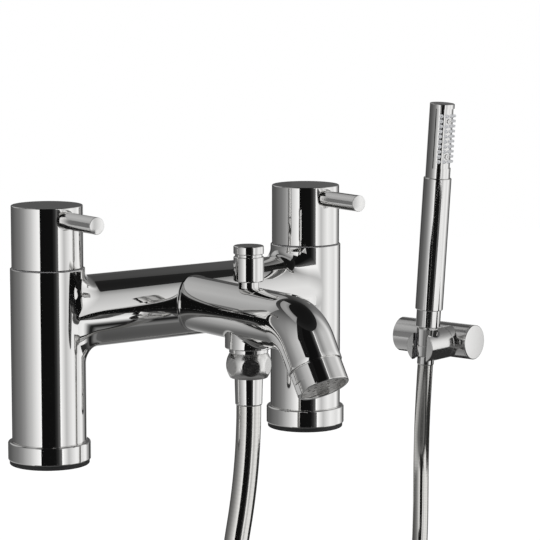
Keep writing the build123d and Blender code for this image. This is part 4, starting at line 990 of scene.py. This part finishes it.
@dataclass
class WallHolder(Assembly):
    """Arm from the wall, plain front disc and slotted jaw."""

    arm_offset: float = 42.8
    arm_radius: float = 15.6
    wall_reach: float = 57.0
    front_reach: float = 23.0
    cap_thickness: float = 2.2
    crown: float = 0.25
    pocket_radius: float = 11.0
    pocket_depth: float = 8.0
    stub_overlap: float = 2.0
    jaw_radius: float = 14.2
    jaw_nose: float = 10.7
    jaw_tail: float = 22.4
    seam: float = 0.1
    slot_width: float = 15.2
    bore_radius: float = 9.75
    bore_height: float = 8.8
    bore_slope: float = 1.7 / 25.8

    def build(self) -> None:
        """Builds the arm and its front disc, with the stub that carries the jaw."""
        x, y, z = (np.array(row) for row in HOLDER.axes)
        forward = Place(tuple(np.array(HOLDER.origin) + self.arm_offset * x), (tuple(x), tuple(z), tuple(-y)))
        sideways = Place(HOLDER.origin, (tuple(-y), tuple(z), tuple(x)))
        seam, pocket = self.front_reach - self.cap_thickness, self.pocket_depth - self.wall_reach
        arm = Shell("wall_arm", forward).turned([
            (self.pocket_radius, -self.wall_reach, 0.3), (self.arm_radius, -self.wall_reach, 0.4),
            (self.arm_radius, seam, 0.3), (0.0, seam, 0.0)], count=120)
        arm.turned([(0.0, seam - 1.0, 0.0), (0.0, pocket, 0.0), (self.pocket_radius, pocket, 0.2),
                    (self.pocket_radius, -self.wall_reach, 0.0)], count=120)
        stub = plug(self.jaw_radius, self.jaw_tail + self.seam, self.arm_offset - self.stub_overlap, 0.5)
        arm.turned(stub, count=120, place=sideways)
        self.fit(arm.mesh(), SATIN_CHROME, Body.FIXED, "holder_arm")
        disc = [*plug(self.arm_radius, seam, self.front_reach - self.crown, 0.3, 0.7)[:3],
                *crowned(self.arm_radius, self.front_reach, self.crown)]
        self.turn("front_disc", forward, disc, SATIN_CHROME, Body.FIXED, "holder_front_cap", closed=False, count=120)
        self.build_jaw(sideways)

    def build_jaw(self, sideways: Place) -> None:
        """Builds the jaw: a round bar with a tapered bore across it and a slot out to its nose.

        Args:
            sideways: The frame along the jaw, from its nose to its tail.
        """
        jaw = Shell("slotted_jaw", sideways).turned(
            plug(self.jaw_radius, -self.jaw_nose, self.jaw_tail, 0.6, 0.5), count=FINE_SEGMENTS).mesh()
        reach, half = self.jaw_radius + CUTTER_MARGIN, self.slot_width / 2
        low, high = (self.bore_radius + self.bore_slope * (self.bore_height + z) for z in (-reach, reach))
        bore = Shell("bore", LEANING).turned([
            (0.0, -reach, 0.0), (low, -reach, 0.0), (high, reach, 0.0), (0.0, reach, 0.0)], count=72).mesh()
        slot = block("slot", LEANING, (-self.jaw_nose - CUTTER_MARGIN, -half, -reach), (0.0, half, reach))
        self.fit(carve(jaw, sideways, bore, slot), SATIN_CHROME, Body.FIXED, "holder_jaw")


@dataclass
class Handset(Assembly):
    """Stick handset with its cone nut, handle, head and nozzles."""

    nut_foot: float = -8.8
    nut_top: float = 17.0
    nut_foot_radius: float = 8.3
    nut_top_radius: float = 10.0
    nut_bore: float = 6.55
    nut_thread: float = 7.95
    nut_floor: float = 5.8
    groove_height: float = 1.3
    groove_width: float = 1.0
    groove_depth: float = 0.5
    connector_foot: float = 18.0
    connector_radius: float = 10.9
    connector_bore: float = 5.0
    stub_radius: float = 7.9
    stub_length: float = 5.0
    handle_foot: float = 33.7
    handle_top: float = 152.1
    handle_radius: float = 12.4
    handle_bore: float = 10.4
    head_top: float = 218.0
    head_radius: float = 11.0
    head_wall: float = 0.9
    window_foot: float = 161.1
    window_top: float = 214.0
    window_spread: float = 70.0
    window_edge: float = 0.06
    window_gap: float = 0.006
    window_columns: int = 49
    back_columns: int = 73
    sleeve_radius: float = 10.05
    first_row: float = 167.4
    row_pitch: float = 4.46
    rows: int = 10
    columns: int = 4
    column_step: float = 28.5
    screw_rows: tuple[int, int] = (1, 8)
    ferrule_foot: float = -16.5
    ferrule_radius: float = 7.6
    ferrule_neck: float = 6.5
    ferrule_bore: float = 4.6
    ferrule_tongue: float = 6.0
    ferrule_gap: float = 0.1

    def build(self) -> None:
        """Builds every visible piece of the handset."""
        self.build_nut()
        stub_foot = self.connector_foot - self.stub_length
        connector = [
            (self.connector_bore, stub_foot, 0.0), (self.stub_radius, stub_foot, 0.0),
            (self.stub_radius, self.connector_foot, 0.0), (self.connector_radius, self.connector_foot, 0.7),
            (self.connector_radius, self.handle_foot, 0.0), (self.connector_bore, self.handle_foot, 0.0)]
        self.turn("inlet_piece", UPRIGHT, connector, TURNED_CHROME, Body.HANDSET, "handset_connector")
        handle = tube(self.handle_bore, self.handle_radius, self.handle_foot, self.handle_top, 0.2, 0.6, 0.8, 0.2)
        self.turn("hand_tube", UPRIGHT, handle, TURNED_CHROME, Body.HANDSET, "handset_handle", count=120)
        self.build_head()
        self.build_nozzles()

    def build_nut(self) -> None:
        """Builds the cone nut with its groove, and the ferrule that turns in it."""
        low, high = (self.groove_height + side * self.groove_width / 2 for side in (-1, 1))
        slope = (self.nut_top_radius - self.nut_foot_radius) / (self.nut_top - self.nut_foot)
        low_radius, high_radius = (self.nut_foot_radius + slope * (z - self.nut_foot) for z in (low, high))
        floor = self.nut_foot + self.nut_floor
        nut = [
            (self.nut_bore, self.nut_foot, 0.1), (self.nut_foot_radius, self.nut_foot, 0.6), (low_radius, low, 0.12),
            (low_radius - self.groove_depth, low, 0.1), (high_radius - self.groove_depth, high, 0.1),
            (high_radius, high, 0.12), (self.nut_top_radius, self.nut_top, 0.6),
            (self.nut_thread, self.nut_top, 0.1), (self.nut_thread, floor, 0.0), (self.nut_bore, floor, 0.0)]
        self.turn("cone_union", UPRIGHT, nut, TURNED_CHROME, Body.HANDSET, "cone_nut")
        neck = self.nut_foot - self.ferrule_gap
        tongue = neck + self.ferrule_tongue
        ferrule = [(self.ferrule_bore, self.ferrule_foot, 0.2), (self.ferrule_radius, self.ferrule_foot, 0.8),
                   (self.ferrule_radius, neck, 0.3), (self.ferrule_neck, neck, 0.0),
                   (self.ferrule_neck, tongue, 0.0), (self.ferrule_bore, tongue, 0.0)]
        self.turn("lower_ferrule", UPRIGHT, ferrule, TURNED_CHROME, Body.HOSE_END, "swivel_ferrule")

    def build_head(self) -> None:
        """Builds the head with its window.

        The radius is the head's, less the wall where the angle from the spray side is under the window's
        spread and the height is between its foot and top.
        """
        spread, edge = radians(self.window_spread), self.window_edge
        start = spread + self.window_gap
        t = np.concatenate([np.linspace(-spread, spread, self.window_columns),
                            np.linspace(start, 2 * pi - start, self.back_columns)])
        low, high = self.window_foot, self.window_top
        outer = rounded([(self.handle_bore, self.handle_top, 0.0), (self.head_radius, self.handle_top, 0.3),
                         (self.head_radius, self.head_top, 0.6), (0.0, self.head_top, 0.0)])
        cut = np.searchsorted(outer[:, 1], low)
        window = np.array([[self.head_radius, h] for h in (low, low + edge, high - edge, high)])
        outline = np.vstack([outer[:cut], window, outer[cut:]])
        inside_row = (outline[:, 1] > low + edge / 2) & (outline[:, 1] < high - edge / 2)
        inside = inside_row[:, None] & (np.abs(t) < spread + self.window_gap / 2)[None]
        radius = outline[:, :1] - self.head_wall * inside
        skin = polar(radius, t, outline[:, 1:]) * (1.0, -1.0, 1.0)
        self.fit(Shell("spray_head", UPRIGHT).grid(skin).mesh(), TURNED_CHROME, Body.HANDSET,
                 "handset_head", "spray_sleeve")

    def nozzle_places(self) -> tuple[Array, Array]:
        """Turn and height of each nozzle: all crossings of columns and rows but the screws' in the middle."""
        column, row = np.meshgrid(np.arange(self.columns), np.arange(self.rows), indexing="ij")
        middle = (column > 0) & (column < self.columns - 1)
        kept = ~(middle & np.isin(row, self.screw_rows))
        turn = np.radians((column[kept] - (self.columns - 1) / 2) * self.column_step)
        return turn, self.first_row + row[kept] * self.row_pitch

    def facing_out(self, name: str, outline: Array, turn: Array, height: Array, count: int) -> Object:
        """Copies of a small turned form standing on the head.

        A point at radius r, angle t and stand-off z lies at (R + z) along the outward direction, r sin t
        across it and r cos t up from the copy's height.

        Args:
            name: The piece's name.
            outline: Radius and stand-off of the form's points.
            turn: The copies' angles round the head.
            height: Their heights.
            count: Columns in each copy.

        Returns:
            The new object.
        """
        small = polar(outline[:, :1], angles(count), outline[:, 1:])
        across, up, out = small[..., 0], small[..., 1], small[..., 2] + self.sleeve_radius
        s, c = np.sin(turn)[:, None, None], np.cos(turn)[:, None, None]
        shell = Shell(name, UPRIGHT)
        for copy in stacked(across * c + out * s, across * s - out * c, up + height[:, None, None]):
            shell.grid(copy)
        return shell.mesh()

    def build_nozzles(self) -> None:
        """Builds the soft nozzles with their holes, and the two screw heads."""
        nozzle = rounded([(0.0, -0.3, 0.0), (1.8, -0.3, 0.0), (1.8, 0.25, 0.15), (1.35, 0.6, 0.2), (1.0, 2.6, 0.3),
                          (0.45, 2.6, 0.1), (0.4, 1.2, 0.1), (0.0, 1.2, 0.0)], steps=3)
        self.fit(self.facing_out("soft_nozzles", nozzle, *self.nozzle_places(), 24), NOZZLE, Body.HANDSET,
                 "spray_nozzles")
        head = rounded([(0.0, -0.3, 0.0), (2.5, -0.3, 0.0), (2.5, 0.4, 0.2), (2.1, 0.8, 0.15), (1.0, 0.8, 0.08),
                        (0.95, 0.4, 0.08), (0.0, 0.4, 0.0)], steps=4)
        rows = self.first_row + np.array(self.screw_rows) * self.row_pitch
        self.fit(self.facing_out("spray_screw_heads", head, 0 * rows, rows, 48), TURNED_CHROME, Body.HANDSET,
                 "spray_screws")


@dataclass
class Hose:
    """The hose, hanging from the mixer to the handset."""

    name: str = "silver_hose"
    radius: float = 7.0
    length: float = 1.428
    columns: int = 49
    start: Corner = (0.0, -OUTLET_REACH, HoseUnion.ferrule_foot)
    first_run: float = 35.0
    last_run: float = 40.0
    foot: float = Handset.ferrule_foot
    steady: Corner = (0.69, -0.724, 0.0)
    sharp: float = 50.0
    between: tuple[Corner, ...] = (
        (-14.0, -66.0, -70.0), (-20.7, -67.5, -173.1), (24.3, -24.9, -268.6), (94.7, 38.6, -349.6),
        (178.6, 114.6, -410.3), (268.6, 199.0, -446.4), (362.4, 287.0, -456.0), (452.4, 371.4, -438.9),
        (531.3, 445.4, -397.3), (592.7, 502.9, -335.5), (634.0, 543.5, -262.0), (641.4, 552.4, -186.0))

    def route(self) -> Array:
        """The route's points in metres."""
        start = np.array(self.start)
        ends = UPRIGHT.put(np.array([[0.0, 0.0, self.foot - self.last_run], [0.0, 0.0, self.foot]]))
        return np.vstack([start, start - (0.0, 0.0, self.first_run), self.between, ends]) * MILLIMETRE

    def centreline(self) -> Array:
        """Points along the smooth spline whose control points are the route's."""
        curve = bpy.data.curves.new("hose_line", "CURVE")
        curve.dimensions = "3D"
        points = self.route()
        spline = curve.splines.new("NURBS")
        spline.points.add(len(points) - 1)
        spline.points.foreach_set("co", np.hstack([points, np.ones((len(points), 1))]).ravel())
        spline.order_u = 3
        spline.use_endpoint_u = True
        spline.resolution_u = 24
        holder = link("hose_line", curve)
        line = evaluated(holder)
        spots = read(line.vertices, "co", 3)
        bpy.data.objects.remove(holder)
        bpy.data.meshes.remove(line)
        return spots[np.r_[True, np.linalg.norm(np.diff(spots, axis=0), axis=1) > 1e-6]]

    def build(self, fittings: Sequence[Object]) -> None:
        """A ring stands at each point of the centreline, square to it. The rings' first axis is square to the
        line and to one fixed direction, so the tube doesn't twist.

        Args:
            fittings: The pieces that are part of the hose; not used.
        """
        line = self.centreline()
        ahead, fixed = directions(np.gradient(line, axis=0)), np.array(self.steady)
        first = directions(fixed - np.sum(ahead * fixed, axis=1, keepdims=True) * ahead)
        second = np.cross(ahead, first)
        t = np.linspace(0.0, 2 * pi, self.columns)
        ring = np.cos(t)[None, :, None] * first[:, None] + np.sin(t)[None, :, None] * second[:, None]
        hose = self.tube_mesh(line[:, None] + self.radius * MILLIMETRE * ring, line)
        hose.data.materials.append(HOSE.material())
        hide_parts("shower_hose")
        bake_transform(hose)
        LOG.info("%s: %d faces", hose.name, len(hose.data.polygons))

    def tube_mesh(self, points: Array, line: Array) -> Object:
        """Makes the tube with its ends closed and its own coordinates: turn round it, metres along it.

        Args:
            points: Rings of points; the last column repeats the first.
            line: The centreline.

        Returns:
            The new object.
        """
        rows, columns = points.shape[:2]
        along = np.concatenate([[0.0], np.cumsum(np.linalg.norm(np.diff(line, axis=0), axis=1))])
        number = np.arange(rows * columns).reshape(rows, columns)
        quads = np.stack([number[:-1, :-1], number[:-1, 1:], number[1:, 1:], number[1:, :-1]], axis=-1)
        faces = quads.reshape(-1, 4).tolist() + [number[0, :-1][::-1].tolist(), number[-1, :-1].tolist()]
        data = bpy.data.meshes.new(self.name)
        data.from_pydata(points.reshape(-1, 3).tolist(), [], faces)
        layer = data.uv_layers.new(name="round_and_along")
        spots = stacked(np.linspace(0.0, 1.0, columns), along[:, None]).reshape(-1, 2)
        layer.data.foreach_set("uv", spots[read(data.loops, "vertex_index")].ravel())
        close_up(data, self.sharp)
        return link(self.name, data)


# Studio


@dataclass(frozen=True)
class Card:
    """A large card of the studio that metal mirrors.

    A wall card is a strip of an upright cylinder round the object. A level card is a ring or part of one.
    Its brightness follows stops along it: bearings in degrees from the camera for a wall, positive to the
    viewer's right, and distances in metres for a level card. It fades upwards by a share for each metre,
    from a full level at height zero, and never shines at more than one.
    """

    name: str
    bearings: tuple[float, float]
    distances: tuple[float, float]
    heights: tuple[float, float]
    stops: tuple[tuple[float, float], ...]
    centre: tuple[float, float] = (0.1, 0.0)
    fade: float = 0.0
    full: float = 1.13
    steps: int = 73

    def build(self, towards: Array, right: Array) -> None:
        """Makes the card and hides it from the camera, from diffuse light and from shadows.

        A point at bearing b and distance d lies at centre + d (cos b towards + sin b right).

        Args:
            towards: Level unit direction from the object to the camera.
            right: Level unit direction to the viewer's right.
        """
        turn = np.radians(np.linspace(*self.bearings, self.steps))[:, None]
        way = np.cos(turn) * towards + np.sin(turn) * right
        edges = [np.hstack([distance * way, np.full_like(turn, height)])
                 for distance, height in zip(self.distances, self.heights)]
        count = np.arange(self.steps - 1)
        faces = np.stack([count, count + 1, count + self.steps + 1, count + self.steps], axis=-1)
        data = bpy.data.meshes.new(self.name)
        data.from_pydata(np.vstack(edges).tolist(), [], faces.tolist())
        data.materials.append(self.material(towards, right))
        card = link(self.name, data)
        card.location = (*self.centre, 0.0)
        card.visible_camera = card.visible_diffuse = card.visible_shadow = False

    def material(self, towards: Array, right: Array) -> Material:
        """Even light from the card, with its brightness from the stops.

        Args:
            towards: Level unit direction from the object to the camera.
            right: Level unit direction to the viewer's right.

        Returns:
            The new material.
        """
        made, graph = new_material(self.name)
        place = graph.node("TexCoord").outputs["Object"]
        ahead, across = (graph.number("VectorMath", {"operation": "DOT_PRODUCT"},
                                      {0: place, 1: (*axis, 0.0)}, "Value") for axis in (towards, right))
        if self.distances[0] == self.distances[1]:
            value, low, high, unit = across.bearing(ahead), -pi, pi, radians(1.0)
        else:
            value, low, high, unit = (ahead * ahead + across * across).power(0.5), 0.0, max(self.distances), 1.0
        placed = [((stop * unit - low) / (high - low), level) for stop, level in self.stops]
        share = (value - low) / (high - low)
        level = graph.number("ValToRGB", {"stops": placed}, {"Fac": share}, "Color")
        height = graph.number("SeparateXYZ", {}, {0: place}, "Z")
        fade = (self.full - height * self.fade).smaller(1.0)
        shader = graph.node("Emission", {}, {"Color": level, "Strength": fade})
        graph.node("OutputMaterial", {}, {"Surface": shader.outputs[0]})
        return made


WALL, WALL_HEIGHTS = (2.0, 2.0), (-0.47, 2.75)
LOW_WALL, LOW_HEIGHTS = (1.96, 1.96), (-0.46, 0.25)
OVER_TABLE = (-0.465, -0.465)
CARDS = (
    Card("left_wall", (-180.0, -24.0), WALL, WALL_HEIGHTS,
         ((-180, 0.09), (-128, 0.1), (-90, 0.2), (-74, 0.3), (-50, 0.58), (-26, 1.0)), fade=0.3),
    Card("rear_light", (-172.0, -100.0), (1.95, 1.95), (0.62, 2.1),
         ((-172, 0.3), (-150, 0.45), (-125, 0.5), (-100, 0.34)), fade=0.1),
    Card("rear_low_left", (-180.0, -149.0), LOW_WALL, LOW_HEIGHTS,
         ((-180, 0.6), (-169, 0.5), (-165, 0.03), (-149, 0.06))),
    Card("rear_low_right", (149.0, 180.0), LOW_WALL, LOW_HEIGHTS, ((149, 0.06), (165, 0.03), (169, 0.5), (180, 0.6))),
    Card("front_flag", (-21.5, 34.0), WALL, WALL_HEIGHTS, ((-21.5, 0.005), (16, 0.006), (24, 0.03), (34, 0.16))),
    Card("upper_flag", (-40.0, -20.0), (1.97, 1.97), (1.0, 2.73), ((-40, 0.01), (-20, 0.01))),
    Card("front_strip", (-40.0, 39.0), (0.8, 1.97), OVER_TABLE, ((0.8, 0.02), (1.1, 0.008), (1.97, 0.006))),
    Card("grey_strip", (39.0, 58.0), (0.95, 1.97), OVER_TABLE, ((0.95, 0.12), (1.97, 0.1))),
    Card("rear_strip", (104.0, 180.0), (0.8, 1.97), OVER_TABLE, ((0.8, 0.1), (1.1, 0.03), (1.97, 0.02))),
    Card("right_wall", (38.0, 180.0), WALL, WALL_HEIGHTS,
         ((38, 1.0), (54, 0.55), (66, 0.75), (80, 0.95), (105, 0.8), (121, 1.0), (128, 0.8), (136, 0.42),
          (150, 0.22), (180, 0.1)), fade=0.3),
    Card("ceiling", (-180.0, 180.0), (0.0, 2.05), (2.75, 2.75), ((0.0, 0.008), (1.2, 0.01), (2.05, 0.02))),
    Card("left_table", (-180.0, -48.0), (0.45, 1.97), (-0.463, -0.463),
         ((0.45, 0.17), (0.7, 0.13), (1.0, 0.35), (1.5, 0.5), (1.97, 0.5))),
    Card("left_ceiling", (-150.0, -42.0), (1.05, 2.0), (2.74, 2.74), ((1.05, 0.22), (1.4, 0.35), (2.0, 0.3))),
    Card("table", (-180.0, 180.0), (0.0, 1.98), (-0.47, -0.47),
         ((0.0, 0.06), (0.3, 0.1), (0.4, 0.11), (0.45, 0.2), (0.52, 0.19), (0.6, 0.08), (0.68, 0.012), (0.78, 0.02),
          (0.91, 0.2), (1.05, 0.6), (1.26, 0.95), (1.98, 0.85))),
)


@dataclass
class Studio:
    """Camera, floor and light."""

    eye: Corner = (-0.85525, -1.24287, 0.31243)
    right: Corner = (0.80406, -0.59455, 0.0)
    up: Corner = (0.08226, 0.11125, 0.99038)
    ahead: Corner = (0.58883, 0.79633, -0.13835)
    lens: float = 176.12
    floor_centre: Corner = (0.3, 0.3, -0.48)
    floor_half: float = 3.2
    floor_glow: float = 0.52
    ambient: float = 0.62
    lamp_place: Corner = (-1.2, -1.4, 1.8)
    lamp_target: Corner = (0.1, 0.0, -0.1)
    lamp_size: float = 1.6
    lamp_power: float = 14.0

    def build(self) -> None:
        """Sets the camera, the floor, the world, the cards and the lamp."""
        self.set_camera()
        self.lay_floor()
        self.light_world()
        self.hang_lamp()
        towards = directions(-np.array([*self.ahead[:2], 0.0]))[:2]
        for card in CARDS:
            card.build(towards, np.array(self.right[:2]))
        bpy.context.scene.view_settings.view_transform = "Standard"

    def set_camera(self) -> None:
        """Stands the camera where the mixer is seen from, a little left of and above it."""
        data = bpy.data.cameras.new("camera")
        data.lens = self.lens
        data.sensor_width = 36.0
        data.clip_end = 50.0
        camera = link("camera", data)
        turn = Matrix((self.right, self.up, -Vector(self.ahead))).transposed()
        camera.matrix_world = Matrix.Translation(self.eye) @ turn.to_4x4()
        bpy.context.scene.camera = camera

    @staticmethod
    def seen(graph: Graph) -> Signal:
        """One on rays from the camera and on those through glass or off metal, zero on the light's own."""
        ray = graph.node("LightPath")
        camera, glossy, through = (Signal(graph, ray.outputs[f"Is {name} Ray"]) for name in
                                   ("Camera", "Glossy", "Transmission"))
        return camera.larger(glossy).larger(through)

    def lay_floor(self) -> None:
        """Lays a white floor under the hose's lowest point. It looks white and still takes the shadow."""
        half = self.floor_half
        data = bpy.data.meshes.new("floor")
        data.from_pydata([(-half, -half, 0.0), (half, -half, 0.0), (half, half, 0.0), (-half, half, 0.0)], [],
                         [(0, 1, 2, 3)])
        material, graph = new_material("white_floor")
        shader = graph.node("BsdfPrincipled", {}, {
            "Base Color": (0.82, 0.82, 0.82, 1.0), "Roughness": 0.9, "Specular IOR Level": 0.0,
            "Emission Color": (1.0, 1.0, 1.0, 1.0), "Emission Strength": self.seen(graph) * self.floor_glow})
        graph.node("OutputMaterial", {}, {"Surface": shader.outputs["BSDF"]})
        data.materials.append(material)
        floor = link("floor", data)
        floor.location = self.floor_centre

    def light_world(self) -> None:
        """Gives the world a white background and an even, soft light."""
        world = bpy.data.worlds.new("studio")
        world.use_nodes = True
        bpy.context.scene.world = world
        graph = Graph(world.node_tree)
        seen = self.seen(graph)
        strength = seen + (1 - seen) * self.ambient
        background = graph.node("Background", {}, {"Color": (1.0, 1.0, 1.0, 1.0), "Strength": strength})
        graph.node("OutputWorld", {}, {"Surface": background.outputs[0]})

    def hang_lamp(self) -> None:
        """Hangs one wide, soft lamp over the left shoulder; metal doesn't mirror it."""
        data = bpy.data.lights.new("softbox", "AREA")
        data.shape, data.size, data.energy = "SQUARE", self.lamp_size, self.lamp_power
        lamp = link("softbox", data)
        lamp.visible_glossy = False
        lamp.location = self.lamp_place
        lamp.rotation_euler = (Vector(self.lamp_target) - lamp.location).to_track_quat("-Z", "Y").to_euler()


def dress_nodes(frame: dict[str, Any]) -> None:
    """Gives each solid of the model its finish by the record's material slot.
    """
    slots = {part["node"]: part["material_slot"] for part in frame["record"]["subparts"]}
    for name, node in frame["nodes"].items():
        finish = FINISH_BY_SLOT[slots.get(name, "chrome")]
        node.data.materials.clear()
        node.data.materials.append(finish.material())


def main() -> None:
    """Builds the sub-assemblies in order."""
    logging.basicConfig(level=logging.INFO, format="%(name)s %(message)s")
    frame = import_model()
    Studio().build()
    dress_nodes(frame)
    casting = Casting()
    casting.build()
    SpoutEnd().build(casting.mouth())
    for side in (-1, 1):
        LegFoot(side=side).build()
        Handle(side=side).build()
    union, handset = HoseUnion(), Handset()
    for assembly in (Diverter(), union, WallHolder(), handset):
        assembly.build()
    fittings = ("union_nut", "upper_ferrule", "lower_ferrule")
    Hose().build([piece for piece in union.made + handset.made if piece.name in fittings])


if __name__ == "__main__":
    main()
